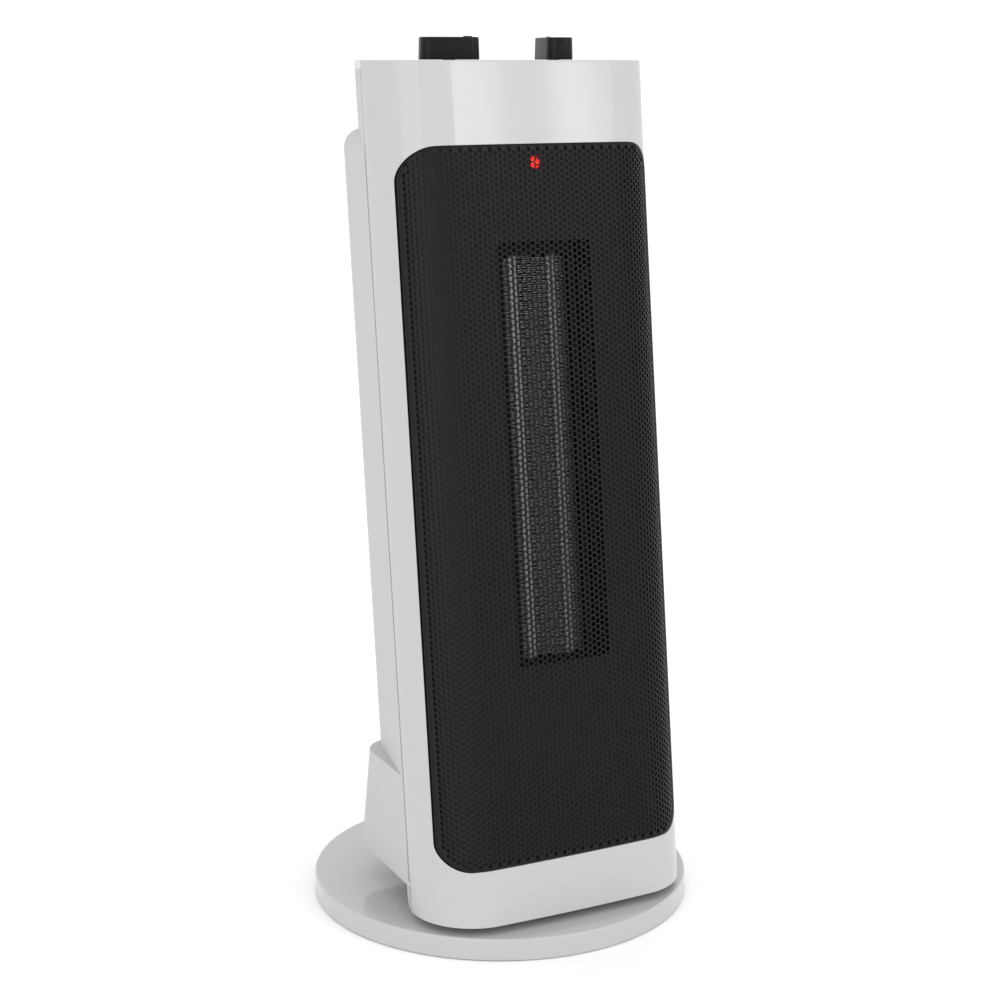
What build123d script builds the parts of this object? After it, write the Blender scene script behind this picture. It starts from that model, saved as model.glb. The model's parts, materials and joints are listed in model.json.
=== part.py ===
from build123d import *
import os
from math import cos, radians, sin, tan

# Ceramic tower heater on a round swivelling base.
# Millimetres, +Z up, front towards -Y, origin at the centre of the base on the floor.

# ---- driving dimensions -------------------------------------------------------------------
BASE_RADIUS = 98.2
BASE_TOP = 11.5
BASE_UNDERSIDE = 0.6
RIM_RADIUS = 1.0
WALL = 2.5

TOP = 430.4
PRISM_LENGTH = 460.0
LEAN = 6.68
HALF_WIDTH = 74.15
FRONT_DEPTH = -83.9
FRONT_SAG = 2.77
FRONT_CORNER = 32.0
SEAM = -47.8
FRAME_BOTTOM = 16.0
SEAM_BAND = 2.3
SEAM_RECESS = 0.4

# rear casing: side taper, depth behind the seam, corner radius and bulge of its back
BODY = (12.0, 78.0, 40.0, 6.0)
NECK = (20.0, 48.0, 15.0, 4.0)
SHOULDER = 397.0
SHOULDER_ROUND = 9.5

# boxy foot of the rear casing, upright and raked forwards as it rises
FOOT = (3.0, 80.0, 16.0, 5.0)
FOOT_SEAM_Y = -44.8
FOOT_RAKE = 11.0
FOOT_TOP = 84.0
TRAY_BOTTOM = 28.5
TRAY_TOP = 31.0
TOE = 7.5

# grille and the black panel behind it, measured along the leaning front
GRILLE_LOW = 34.4
GRILLE_HIGH = 384.3
GRILLE_HALF = 69.4
GRILLE_TOP_CORNER = 16.0
GRILLE_LOW_CORNER = 15.0
GRILLE_INSET = 0.9
SHEET = 0.8
PANEL_INSET = 2.7
PANEL_WALL = 1.8
PANEL_TOP_CORNER = 20.0
PANEL_LOW_CORNER = 15.0
WINDOW_X = 1.9
WINDOW_HALF = 26.0
WINDOW_LOW = 131.8
WINDOW_HIGH = 338.0
WINDOW_CORNER = 2.0
LAMP_ALONG = 375.5
LAMP_RADIUS = 3.0
LAMP_BACK = 72.0
LAMP_FRONT = 81.5
LAMP_FLANGE = 3.6

# heating element
ELEMENT_FRONT = -71.4
ELEMENT_DEPTH = 15.0
ELEMENT_LOW = 133.6
ELEMENT_HIGH = 331.7
ELEMENT_HALF = 20.1
TUBE_AT = 10.6
TUBE_WIDTH = 2.8
FIN_PITCH = 4.0
FIN_THICK = 0.5

# blower
FAN_AXIS = -22.0
FAN_RADIUS = 29.0
FAN_BLADES = 24
SHAFT_RADIUS = 2.5
RUNNING = 0.05

# swivel
HUB_RADIUS = 30.0
HUB_TOP = 27.1
PIVOT_RADIUS = 23.9
PIVOT_CLEARANCE = 0.1
PIVOT_INNER = 15.0
PIVOT_TOP = 31.6
CRANK_OFFSET = 30.0
CRANK_THROW = 15.0
ROLLER_RADIUS = 3.0
SLOT_CLEARANCE = 1.2
PLATE_SCREW_CIRCLE = 19.5

# controls
KNOB_X = 29.0
KNOB_Y = -2.0
KNOB_LENGTH = 29.5
KNOB_WIDTH = 13.5
KNOB_CORNER = 5.5
KNOB_HEIGHT = 10.5
KNOB_GAP = 0.4
THERMOSTAT_TURN = -13.0
SELECTOR_TURN = 78.0

os.makedirs("parts", exist_ok=True)

TOWER = Plane(origin=(0, 0, 0), x_dir=(1, 0, 0), z_dir=(0, sin(radians(LEAN)), cos(radians(LEAN))))
FACE = Plane(origin=(0, 0, 0), x_dir=(1, 0, 0), z_dir=(0, -cos(radians(LEAN)), sin(radians(LEAN))))
BACK = Plane(
    origin=TOWER.from_local_coords((0, SEAM, 0)),
    x_dir=(1, 0, 0),
    z_dir=(0, cos(radians(LEAN)), -sin(radians(LEAN))),
)


def save(piece, name):
    """Label a finished piece and write it as its own STEP file."""
    piece.part.label = name
    export_step(piece.part, f"parts/{name}.step")


def front_outline(inset, back):
    """Plan of the bowed front half, inset from its skin and closed at depth back."""
    half = HALF_WIDTH - inset
    nose = FRONT_DEPTH + inset
    shoulder = nose + FRONT_SAG
    with BuildSketch(Plane.XY) as outline:
        with BuildLine():
            Polyline((-half, shoulder), (-half, back), (half, back), (half, shoulder))
            ThreePointArc((half, shoulder), (0, nose), (-half, shoulder))
        make_face()
        fillet(outline.vertices().group_by(Axis.Y)[0], FRONT_CORNER - inset)
    return outline.sketch


def rear_outline(inset, front, seam, taper, depth, corner, bulge):
    """Plan behind the seam: tapering sides, round corners and a slightly bowed back."""
    half = HALF_WIDTH - inset
    back = seam + depth - inset
    edge = back - bulge
    narrow = half - (edge - seam) * tan(radians(taper))
    with BuildSketch(Plane.XY) as outline:
        with BuildLine():
            Polyline((narrow, edge), (half, front), (-half, front), (-narrow, edge))
            ThreePointArc((-narrow, edge), (0, back), (narrow, edge))
        make_face()
        fillet(outline.vertices().group_by(Axis.Y)[-1], corner - inset)
    return outline.sketch


def leaning_prism(outline, low, high):
    """Outline leaned back with the tower and cut level at the heights low and high."""
    with BuildPart() as prism:
        with BuildSketch(TOWER):
            add(outline)
        extrude(amount=PRISM_LENGTH)
        split(bisect_by=Plane.XY.offset(low), keep=Keep.TOP)
        split(bisect_by=Plane.XY.offset(high), keep=Keep.BOTTOM)
    return prism.part


def rear_body(inset, low):
    """Main bulge of the rear casing, with its rounded shoulder."""
    front = SEAM - (2 if inset else 0)
    with BuildPart() as body:
        add(leaning_prism(rear_outline(inset, front, SEAM, *BODY), low, SHOULDER - inset))
        rim = body.faces().sort_by(Axis.Z)[-1].edges().sort_by(Axis.Y)[1:]
        fillet(rim, SHOULDER_ROUND - inset)
    return body.part


def rear_foot(inset, low):
    """Boxy lower part of the rear casing, raked forwards as it rises."""
    front = FOOT_SEAM_Y - (2 if inset else 0)
    height = FOOT_TOP - inset - low
    with BuildPart() as foot:
        with BuildSketch(Plane.XY.offset(low)):
            add(rear_outline(inset, front, FOOT_SEAM_Y, *FOOT))
        extrude(amount=height, dir=(0, -sin(radians(FOOT_RAKE)), cos(radians(FOOT_RAKE))))
        split(bisect_by=BACK.offset(-2 if inset else 0), keep=Keep.TOP)
    return foot.part


def rear_form(inset):
    """Whole form of the rear casing: bulge, neck and foot, open below and at the seam when inset."""
    low = TRAY_TOP - (2 if inset else 0)
    front = SEAM - (2 if inset else 0)
    with BuildPart() as form:
        add(rear_body(inset, low))
        neck_top = TOP - 4 + (2 if inset else 0)
        add(leaning_prism(rear_outline(inset, front, SEAM, *NECK), SHOULDER - 30, neck_top))
        add(rear_foot(inset, low))
    return form.part


def front_pocket(half, low, high, top_corner, low_corner, middle=0.0):
    """Rounded window seen square to the leaning front, as a sketch in that face."""
    with BuildSketch(Plane.XY) as window:
        with Locations((middle, (low + high) / 2)):
            Rectangle(2 * half, high - low)
        fillet(window.vertices().group_by(Axis.Y)[-1], top_corner)
        fillet(window.vertices().group_by(Axis.Y)[0], low_corner)
    return window.sketch


# ---- base ---------------------------------------------------------------------------------
BASE_SCREW_CIRCLE = 92.0
BASE_SCREWS = 4
BOSS_RADIUS = 3.6
PLUNGER_Y = 0.0
PLUNGER_HOLE = 7.6
BASE_PLATE_TOP = 3.5
SCREW_RADIUS = 1.3
SCREW_CLEARANCE = 1.7
BALLAST_OUTER = 87.0
BALLAST_INNER = 42.0
BALLAST_THICK = 4.5
FOOT_CIRCLE = 80.0
FOOT_COUNT = 5
FOOT_RADIUS = 8.0

with BuildPart() as base_cover:
    with BuildSketch(Plane.XY.offset(BASE_UNDERSIDE)):
        Circle(BASE_RADIUS)
    extrude(amount=BASE_TOP - BASE_UNDERSIDE)
    fillet(base_cover.faces().sort_by(Axis.Z)[-1].edges(), RIM_RADIUS)
    with BuildSketch(Plane.XY.offset(BASE_UNDERSIDE)):
        Circle(BASE_RADIUS - WALL)
    extrude(amount=BASE_TOP - BASE_UNDERSIDE - WALL, mode=Mode.SUBTRACT)
    with BuildSketch(Plane.XY.offset(BASE_TOP - WALL)):
        Circle(HUB_RADIUS)
    extrude(amount=HUB_TOP - BASE_TOP + WALL)
    with BuildSketch(Plane.XY.offset(BASE_TOP - WALL)):
        Circle(HUB_RADIUS - WALL)
    extrude(amount=HUB_TOP - BASE_TOP, mode=Mode.SUBTRACT)
    with BuildSketch(Plane.XY.offset(HUB_TOP - WALL)):
        Circle(PIVOT_RADIUS)
    extrude(amount=PIVOT_TOP - HUB_TOP + WALL)
    with BuildSketch(Plane.XY.offset(HUB_TOP - WALL)):
        Circle(PIVOT_INNER)
    extrude(amount=PIVOT_TOP, mode=Mode.SUBTRACT)
    with BuildSketch(Plane.XY.offset(BASE_PLATE_TOP)):
        with PolarLocations(BASE_SCREW_CIRCLE, BASE_SCREWS, start_angle=45):
            Circle(BOSS_RADIUS)
    extrude(amount=BASE_TOP - WALL - BASE_PLATE_TOP + 0.5)
    with BuildSketch(Plane.XY.offset(BASE_PLATE_TOP)):
        with PolarLocations(BASE_SCREW_CIRCLE, BASE_SCREWS, start_angle=45):
            Circle(1.4)
    extrude(amount=5.5, mode=Mode.SUBTRACT)
    with BuildSketch(Plane.XY.offset(PIVOT_TOP)):
        with PolarLocations(PLATE_SCREW_CIRCLE, 3, start_angle=90):
            Circle(SCREW_RADIUS)
    extrude(amount=-6.5, mode=Mode.SUBTRACT)
save(base_cover, "base_cover")

with BuildPart() as base_plate:
    with BuildSketch(Plane.XY.offset(BASE_UNDERSIDE)):
        Circle(BASE_RADIUS - WALL - 0.3)
    extrude(amount=BASE_PLATE_TOP - BASE_UNDERSIDE)
    with BuildSketch(Plane.XY.offset(BASE_UNDERSIDE)):
        with Locations((0, PLUNGER_Y)):
            Circle(PLUNGER_HOLE)
    extrude(amount=BASE_PLATE_TOP, mode=Mode.SUBTRACT)
    with BuildSketch(Plane.XY.offset(BASE_PLATE_TOP)):
        with Locations((-13, PLUNGER_Y), (13, PLUNGER_Y)):
            Rectangle(4, 9)
    extrude(amount=10.5)
    with BuildSketch(Plane.XY.offset(BASE_UNDERSIDE)):
        with PolarLocations(BASE_SCREW_CIRCLE, BASE_SCREWS, start_angle=45):
            Circle(SCREW_CLEARANCE)
    extrude(amount=BASE_PLATE_TOP, mode=Mode.SUBTRACT)
    with BuildSketch(Plane.XY.offset(BASE_UNDERSIDE)):
        with PolarLocations(BASE_SCREW_CIRCLE, BASE_SCREWS, start_angle=45):
            Circle(3.1)
    extrude(amount=1.4, mode=Mode.SUBTRACT)
save(base_plate, "base_plate")

with BuildPart() as ballast_plate:
    with BuildSketch(Plane.XY.offset(BASE_PLATE_TOP)):
        Circle(BALLAST_OUTER)
        Circle(BALLAST_INNER, mode=Mode.SUBTRACT)
    extrude(amount=BALLAST_THICK)
save(ballast_plate, "ballast_plate")

with BuildPart() as base_screws:
    with BuildSketch(Plane.XY.offset(BASE_UNDERSIDE + 0.2)):
        with PolarLocations(BASE_SCREW_CIRCLE, BASE_SCREWS, start_angle=45):
            Circle(2.8)
    extrude(amount=1.2)
    with BuildSketch(Plane.XY.offset(BASE_UNDERSIDE + 1.4)):
        with PolarLocations(BASE_SCREW_CIRCLE, BASE_SCREWS, start_angle=45):
            Circle(1.4)
    extrude(amount=5.4)
save(base_screws, "base_screws")

with BuildPart() as rubber_feet:
    with BuildSketch():
        with PolarLocations(FOOT_CIRCLE, FOOT_COUNT, start_angle=90):
            Circle(FOOT_RADIUS)
    extrude(amount=BASE_UNDERSIDE)
save(rubber_feet, "rubber_feet")

# ---- tip-over cut-out: a sprung plunger under the base and its switch ------------------------
PLUNGER_TRAVEL = 3.0
FLANGE_LOW = BASE_PLATE_TOP + PLUNGER_TRAVEL + 0.4
FLANGE_THICK = 1.2
STEM_TOP = 13.2
SWITCH_LOW = 14.0
SPRING_PITCH = 1.45
SPRING_RADIUS = 3.6
SPRING_WIRE = 0.35

with BuildPart() as tip_plunger:
    with BuildSketch():
        with Locations((0, PLUNGER_Y)):
            Circle(7.0)
    extrude(amount=FLANGE_LOW)
    with BuildSketch(Plane.XY.offset(FLANGE_LOW)):
        with Locations((0, PLUNGER_Y)):
            Circle(8.8)
    extrude(amount=FLANGE_THICK)
    with BuildSketch(Plane.XY.offset(FLANGE_LOW + FLANGE_THICK)):
        with Locations((0, PLUNGER_Y)):
            Circle(2.0)
    extrude(amount=STEM_TOP - FLANGE_LOW - FLANGE_THICK)
save(tip_plunger, "tip_plunger")

SPRING_LOW = FLANGE_LOW + FLANGE_THICK
with BuildPart() as tip_spring:
    with BuildLine() as coil:
        Helix(
            pitch=SPRING_PITCH,
            height=SWITCH_LOW - SPRING_LOW - 1.0,
            radius=SPRING_RADIUS,
            center=(0, PLUNGER_Y, SPRING_LOW + 0.5),
        )
    with BuildSketch(Plane(origin=coil.line @ 0, z_dir=coil.line % 0)):
        Circle(SPRING_WIRE)
    sweep()
save(tip_spring, "tip_spring")

with BuildPart() as tip_switch:
    with BuildSketch(Plane.XY.offset(SWITCH_LOW)):
        with Locations((0, PLUNGER_Y)):
            Rectangle(30, 8)
    extrude(amount=9.5)
    fillet(tip_switch.edges().filter_by(Axis.Z), 1.0)
save(tip_switch, "tip_switch")

# ---- swivel -------------------------------------------------------------------------------
WASHER_TOP = 28.3
PLATE_LOW = PIVOT_TOP
PLATE_TOP = 34.6
SLOT_HALF = ROLLER_RADIUS + SLOT_CLEARANCE
SLOT_INNER = CRANK_OFFSET - CRANK_THROW
SLOT_OUTER = CRANK_OFFSET + CRANK_THROW
SLOT_LENGTH = SLOT_OUTER - SLOT_INNER
SLOT_CENTRE = -(SLOT_INNER + SLOT_OUTER) / 2

with BuildPart() as swivel_washer:
    with BuildSketch(Plane.XY.offset(HUB_TOP)):
        Circle(HUB_RADIUS - 0.5)
        Circle(PIVOT_RADIUS + 0.3, mode=Mode.SUBTRACT)
    extrude(amount=WASHER_TOP - HUB_TOP)
save(swivel_washer, "swivel_washer")

with BuildPart() as drive_plate:
    with BuildSketch(Plane.XY.offset(PLATE_LOW)):
        Circle(27.5)
        with Locations((0, SLOT_CENTRE)):
            SlotCenterToCenter(SLOT_LENGTH, 2 * (SLOT_HALF + 4), rotation=90)
        with Locations((0, SLOT_CENTRE)):
            SlotCenterToCenter(SLOT_LENGTH, 2 * SLOT_HALF, rotation=90, mode=Mode.SUBTRACT)
        with Locations((0, 6)):
            Circle(6.0, mode=Mode.SUBTRACT)
        with PolarLocations(PLATE_SCREW_CIRCLE, 3, start_angle=90):
            Circle(1.6, mode=Mode.SUBTRACT)
    extrude(amount=PLATE_TOP - PLATE_LOW)
save(drive_plate, "drive_plate")

with BuildPart() as drive_plate_screws:
    with BuildSketch(Plane.XY.offset(PLATE_TOP)):
        with PolarLocations(PLATE_SCREW_CIRCLE, 3, start_angle=90):
            Circle(2.8)
    extrude(amount=1.7)
    with BuildSketch(Plane.XY.offset(PLATE_TOP)):
        with PolarLocations(PLATE_SCREW_CIRCLE, 3, start_angle=90):
            Circle(SCREW_RADIUS)
    extrude(amount=-8.5)
save(drive_plate_screws, "drive_plate_screws")

# ---- tower floor and swing drive ------------------------------------------------------------
COLLAR_RADIUS = 34.5
POST_X = 38.0
POST_SPOTS = [(-POST_X, -CRANK_OFFSET), (POST_X, -CRANK_OFFSET)]
BRIDGE_LOW = 40.2
BRIDGE_TOP = 42.2
SWING_MOTOR_TOP = 56.2
TRAY_SCREW_X = 56.0
TRAY_SCREW_FRONT_Y = -62.0
TRAY_SCREW_REAR_Y = 10.0
TRAY_SCREW_SPOTS = [
    (side * TRAY_SCREW_X, y) for side in (-1, 1) for y in (TRAY_SCREW_FRONT_Y, TRAY_SCREW_REAR_Y)
]

# groove that the front edge of the rear casing leaves behind the front frame
with BuildPart() as seam_groove:
    with BuildSketch(TOWER):
        with Locations((0, SEAM + SEAM_BAND / 2 - 1)):
            Rectangle(2 * HALF_WIDTH + 10, SEAM_BAND + 2)
    extrude(amount=PRISM_LENGTH)
    add(
        leaning_prism(rear_outline(SEAM_RECESS, SEAM - 4, SEAM, *BODY), -30, 500),
        mode=Mode.SUBTRACT,
    )

# strips of the casing that follow the front frame down past the floor of the tower
with BuildPart() as toes:
    add(leaning_prism(rear_outline(0, SEAM, SEAM, *BODY), FRAME_BOTTOM, TRAY_BOTTOM + 0.5))
    with BuildSketch(FACE.offset(-SEAM - TOE)):
        Rectangle(300, 300)
    extrude(amount=-150, mode=Mode.SUBTRACT)
    fillet(toes.faces().sort_by(Axis.Z)[0].edges().sort_by(Axis.Y)[-1], 6.5)
    add(
        leaning_prism(rear_outline(WALL, SEAM - 4, SEAM, *BODY), FRAME_BOTTOM - 4, TRAY_TOP),
        mode=Mode.SUBTRACT,
    )
    add(seam_groove.part, mode=Mode.SUBTRACT)

with BuildPart() as bottom_tray:
    with BuildSketch(Plane.XY.offset(TRAY_BOTTOM)):
        add(rear_outline(0, FOOT_SEAM_Y + 0.6, FOOT_SEAM_Y, *FOOT))
    extrude(amount=TRAY_TOP - TRAY_BOTTOM)
    add(toes.part)
    add(leaning_prism(front_outline(WALL + 0.3, SEAM + 4), TRAY_BOTTOM, TRAY_TOP))
    with BuildSketch(Plane.XY.offset(TRAY_BOTTOM)):
        Circle(COLLAR_RADIUS)
        Circle(COLLAR_RADIUS - WALL, mode=Mode.SUBTRACT)
    extrude(amount=-(TRAY_BOTTOM - BASE_TOP - 2.0))
    with BuildSketch(Plane.XY.offset(TRAY_TOP)):
        Circle(PIVOT_RADIUS + PIVOT_CLEARANCE)
    extrude(amount=-(TRAY_TOP - TRAY_BOTTOM), mode=Mode.SUBTRACT)
    with BuildSketch(Plane.XY.offset(TRAY_TOP)):
        with Locations(*POST_SPOTS):
            Circle(3.5)
    extrude(amount=BRIDGE_LOW - TRAY_TOP)
    with BuildSketch(Plane.XY.offset(BRIDGE_LOW)):
        with Locations(*POST_SPOTS):
            Circle(SCREW_RADIUS)
    extrude(amount=-6.0, mode=Mode.SUBTRACT)
    with BuildSketch(Plane.XY.offset(TRAY_BOTTOM)):
        with Locations(*TRAY_SCREW_SPOTS):
            Circle(SCREW_CLEARANCE)
    extrude(amount=TRAY_TOP - TRAY_BOTTOM, mode=Mode.SUBTRACT)
save(bottom_tray, "bottom_tray")

with BuildPart() as swing_motor_bridge:
    with BuildSketch(Plane.XY.offset(BRIDGE_LOW)):
        with Locations((0, -CRANK_OFFSET)):
            SlotCenterToCenter(2 * POST_X, 12.0)
            Circle(25.0)
            Circle(8.0, mode=Mode.SUBTRACT)
        with Locations(*POST_SPOTS):
            Circle(1.6, mode=Mode.SUBTRACT)
    extrude(amount=BRIDGE_TOP - BRIDGE_LOW)
save(swing_motor_bridge, "swing_motor_bridge")

with BuildPart() as bridge_screws:
    with BuildSketch(Plane.XY.offset(BRIDGE_TOP)):
        with Locations(*POST_SPOTS):
            Circle(2.8)
    extrude(amount=1.7)
    with BuildSketch(Plane.XY.offset(BRIDGE_TOP)):
        with Locations(*POST_SPOTS):
            Circle(SCREW_RADIUS)
    extrude(amount=-7.5)
save(bridge_screws, "bridge_screws")

with BuildPart() as swing_motor:
    with BuildSketch(Plane.XY.offset(BRIDGE_TOP)):
        with Locations((0, -CRANK_OFFSET)):
            Circle(25.0)
    extrude(amount=SWING_MOTOR_TOP - BRIDGE_TOP)
    fillet(swing_motor.edges(), 1.0)
    with BuildSketch(Plane.XY.offset(BRIDGE_TOP)):
        with Locations((0, -CRANK_OFFSET)):
            Circle(SHAFT_RADIUS + RUNNING)
    extrude(amount=7.0, mode=Mode.SUBTRACT)
    with BuildSketch(Plane.XY.offset(BRIDGE_TOP + 2)):
        with Locations((0, -CRANK_OFFSET - 26)):
            Rectangle(16, 8)
    extrude(amount=9.0)
save(swing_motor, "swing_motor")

CRANK_LOW = 36.9
CRANK_TOP = 39.8
with BuildPart() as swing_crank:
    with BuildSketch(Plane.XY.offset(CRANK_LOW)):
        with Locations((0, -CRANK_OFFSET - CRANK_THROW / 2)):
            SlotCenterToCenter(CRANK_THROW, 10.0, rotation=90)
    extrude(amount=CRANK_TOP - CRANK_LOW)
    with BuildSketch(Plane.XY.offset(CRANK_TOP)):
        with Locations((0, -CRANK_OFFSET)):
            Circle(SHAFT_RADIUS)
    extrude(amount=BRIDGE_TOP + 6.5 - CRANK_TOP)
    with BuildSketch(Plane.XY.offset(CRANK_LOW)):
        with Locations((0, -CRANK_OFFSET - CRANK_THROW)):
            Circle(1.8)
    extrude(amount=-(CRANK_LOW - PIVOT_TOP - 0.4))
save(swing_crank, "swing_crank")

with BuildPart() as crank_roller:
    with BuildSketch(Plane.XY.offset(PIVOT_TOP + 0.4)):
        with Locations((0, -CRANK_OFFSET - CRANK_THROW)):
            Circle(ROLLER_RADIUS)
            Circle(1.8, mode=Mode.SUBTRACT)
    extrude(amount=CRANK_LOW - PIVOT_TOP - 0.5)
save(crank_roller, "crank_roller")

# ---- front frame ------------------------------------------------------------------------------
def floor_bosses(y, wall_x):
    """Pair of screw bosses for the tower floor, each tied to the side wall by a rib."""
    with BuildPart() as bosses:
        with BuildSketch(Plane.XY.offset(TRAY_TOP)):
            with Locations((-TRAY_SCREW_X, y), (TRAY_SCREW_X, y)):
                Circle(4.0)
            for side in (-1, 1):
                with Locations((side * (TRAY_SCREW_X + wall_x) / 2, y)):
                    Rectangle(wall_x - TRAY_SCREW_X, 2.0)
        extrude(amount=9.5)
        with BuildSketch(Plane.XY.offset(TRAY_TOP)):
            with Locations((-TRAY_SCREW_X, y), (TRAY_SCREW_X, y)):
                Circle(SCREW_CLEARANCE)
        extrude(amount=7.5, mode=Mode.SUBTRACT)
    return bosses.part


CASE_SCREW_X = 50.0
CASE_SCREW_ALONG = 404.0
CASE_SCREW_SPOTS = [(-CASE_SCREW_X, CASE_SCREW_ALONG), (CASE_SCREW_X, CASE_SCREW_ALONG)]

# posts inside the top of the front frame that take the case screws
with BuildPart() as case_posts:
    with BuildSketch(FACE.offset(-SEAM + 1)):
        with Locations(*CASE_SCREW_SPOTS):
            Circle(4.0)
    extrude(amount=-FRONT_DEPTH + SEAM)
    add(leaning_prism(front_outline(WALL / 2, SEAM + 5), FRAME_BOTTOM, TOP), mode=Mode.INTERSECT)

with BuildPart() as front_frame:
    add(leaning_prism(front_outline(0, SEAM), FRAME_BOTTOM, TOP))
    add(leaning_prism(front_outline(WALL, SEAM + 2), FRAME_BOTTOM - 1, TOP + 1), mode=Mode.SUBTRACT)
    fillet(
        front_frame.faces().sort_by(Axis.Z)[-1].edges().filter_by_position(Axis.Y, -60, -5),
        0.8,
    )
    with BuildSketch(FACE.offset(55)):
        add(front_pocket(GRILLE_HALF, GRILLE_LOW, GRILLE_HIGH, GRILLE_TOP_CORNER, GRILLE_LOW_CORNER))
    extrude(amount=40, mode=Mode.SUBTRACT)
    add(case_posts.part)
    with BuildSketch(FACE.offset(-SEAM + 1)):
        with Locations(*CASE_SCREW_SPOTS):
            Circle(SCREW_RADIUS)
    extrude(amount=14, mode=Mode.SUBTRACT)
    add(floor_bosses(TRAY_SCREW_FRONT_Y, 69.8))
save(front_frame, "front_frame")

# ---- grille and the panel behind it -----------------------------------------------------------
def front_skin(inset, thickness):
    """Thin bowed sheet, inset from the front skin, over the whole height of the tower."""
    with BuildPart() as skin:
        add(leaning_prism(front_outline(inset, SEAM), FRAME_BOTTOM + 5, TOP - 6))
        add(
            leaning_prism(front_outline(inset + thickness, SEAM + 2), FRAME_BOTTOM, TOP),
            mode=Mode.SUBTRACT,
        )
    return skin.part


with BuildPart() as front_grille:
    add(front_skin(GRILLE_INSET, SHEET))
    with BuildSketch(FACE.offset(50)):
        add(
            front_pocket(
                GRILLE_HALF - 0.2,
                GRILLE_LOW + 0.2,
                GRILLE_HIGH - 0.2,
                GRILLE_TOP_CORNER - 0.2,
                GRILLE_LOW_CORNER - 0.2,
            )
        )
    extrude(amount=40, mode=Mode.INTERSECT)
save(front_grille, "front_grille")

with BuildPart() as outlet_panel:
    add(front_skin(PANEL_INSET, PANEL_WALL))
    with BuildSketch(FACE.offset(50)):
        add(
            front_pocket(
                GRILLE_HALF + 1.5,
                GRILLE_LOW - 1,
                GRILLE_HIGH + 4,
                PANEL_TOP_CORNER,
                PANEL_LOW_CORNER,
            )
        )
    extrude(amount=40, mode=Mode.INTERSECT)
    with BuildSketch(FACE.offset(60)):
        add(
            front_pocket(
                WINDOW_HALF,
                WINDOW_LOW,
                WINDOW_HIGH,
                WINDOW_CORNER,
                WINDOW_CORNER,
                WINDOW_X,
            )
        )
    extrude(amount=30, mode=Mode.SUBTRACT)
    with BuildSketch(FACE.offset(60)):
        with Locations((0, LAMP_ALONG)):
            Circle(LAMP_RADIUS + 0.2)
    extrude(amount=30, mode=Mode.SUBTRACT)
save(outlet_panel, "outlet_panel")

with BuildPart() as indicator_lamp:
    with BuildSketch(FACE.offset(LAMP_BACK)):
        with Locations((0, LAMP_ALONG)):
            Circle(LAMP_RADIUS)
    extrude(amount=LAMP_FRONT - LAMP_BACK)
    fillet(indicator_lamp.faces().sort_by(Axis.Y)[0].edges(), LAMP_RADIUS - 0.3)
    with BuildSketch(FACE.offset(LAMP_BACK)):
        with Locations((0, LAMP_ALONG)):
            Circle(LAMP_FLANGE)
    extrude(amount=1.0)
save(indicator_lamp, "indicator_lamp")

with BuildPart() as lamp_board:
    with BuildSketch(FACE.offset(70.4)):
        with Locations((0, LAMP_ALONG)):
            Rectangle(24, 14)
    extrude(amount=1.6)
save(lamp_board, "lamp_board")

# ---- heating element ---------------------------------------------------------------------------
FIN_RAIL = 0.6
TUBE_TAIL = 8.0
END_BLOCK = 11.0
BLOCK_PROUD = 1.2
HEATER_WALL = 1.8
HEATER_LIP = 2.0
LIP_HALF = 17.9
FLANGE_HALF = 33.9
FLANGE_OVERLAP = 4.0
HEATER_FRONT = -ELEMENT_FRONT + BLOCK_PROUD + HEATER_LIP + 0.2
HEATER_BACK = -ELEMENT_FRONT - ELEMENT_DEPTH - 1.5
ELEMENT_PLANE = FACE.offset(-ELEMENT_FRONT - ELEMENT_DEPTH)
ELEMENT_MIDDLE = (ELEMENT_LOW + ELEMENT_HIGH) / 2
ELEMENT_LENGTH = ELEMENT_HIGH - ELEMENT_LOW
CAVITY_WIDTH = 2 * ELEMENT_HALF + 0.6
CAVITY_LENGTH = ELEMENT_LENGTH + 2 * END_BLOCK + 1.2

with BuildPart() as heater_frame:
    with BuildSketch(FACE.offset(HEATER_BACK)):
        with Locations((0, ELEMENT_MIDDLE)):
            Rectangle(CAVITY_WIDTH + 2 * HEATER_WALL, CAVITY_LENGTH + 2 * HEATER_WALL)
    extrude(amount=HEATER_FRONT - HEATER_BACK)
    with BuildSketch(FACE.offset(HEATER_BACK)):
        with Locations((0, ELEMENT_MIDDLE)):
            Rectangle(2 * FLANGE_HALF, CAVITY_LENGTH + 2 * HEATER_WALL + 2 * FLANGE_OVERLAP)
    extrude(amount=HEATER_WALL)
    with BuildSketch(FACE.offset(HEATER_BACK)):
        with Locations((0, ELEMENT_MIDDLE)):
            Rectangle(CAVITY_WIDTH, CAVITY_LENGTH)
    extrude(amount=HEATER_FRONT - HEATER_BACK - HEATER_LIP, mode=Mode.SUBTRACT)
    with BuildSketch(FACE.offset(HEATER_BACK)):
        with Locations((0, ELEMENT_MIDDLE)):
            Rectangle(2 * LIP_HALF, ELEMENT_LENGTH)
    extrude(amount=HEATER_FRONT - HEATER_BACK, mode=Mode.SUBTRACT)
save(heater_frame, "heater_frame")

with BuildPart() as heater_tubes:
    with BuildSketch(ELEMENT_PLANE):
        with Locations((-TUBE_AT, ELEMENT_MIDDLE), (TUBE_AT, ELEMENT_MIDDLE)):
            Rectangle(TUBE_WIDTH, ELEMENT_LENGTH + TUBE_TAIL)
    extrude(amount=ELEMENT_DEPTH)
save(heater_tubes, "heater_tubes")

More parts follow.
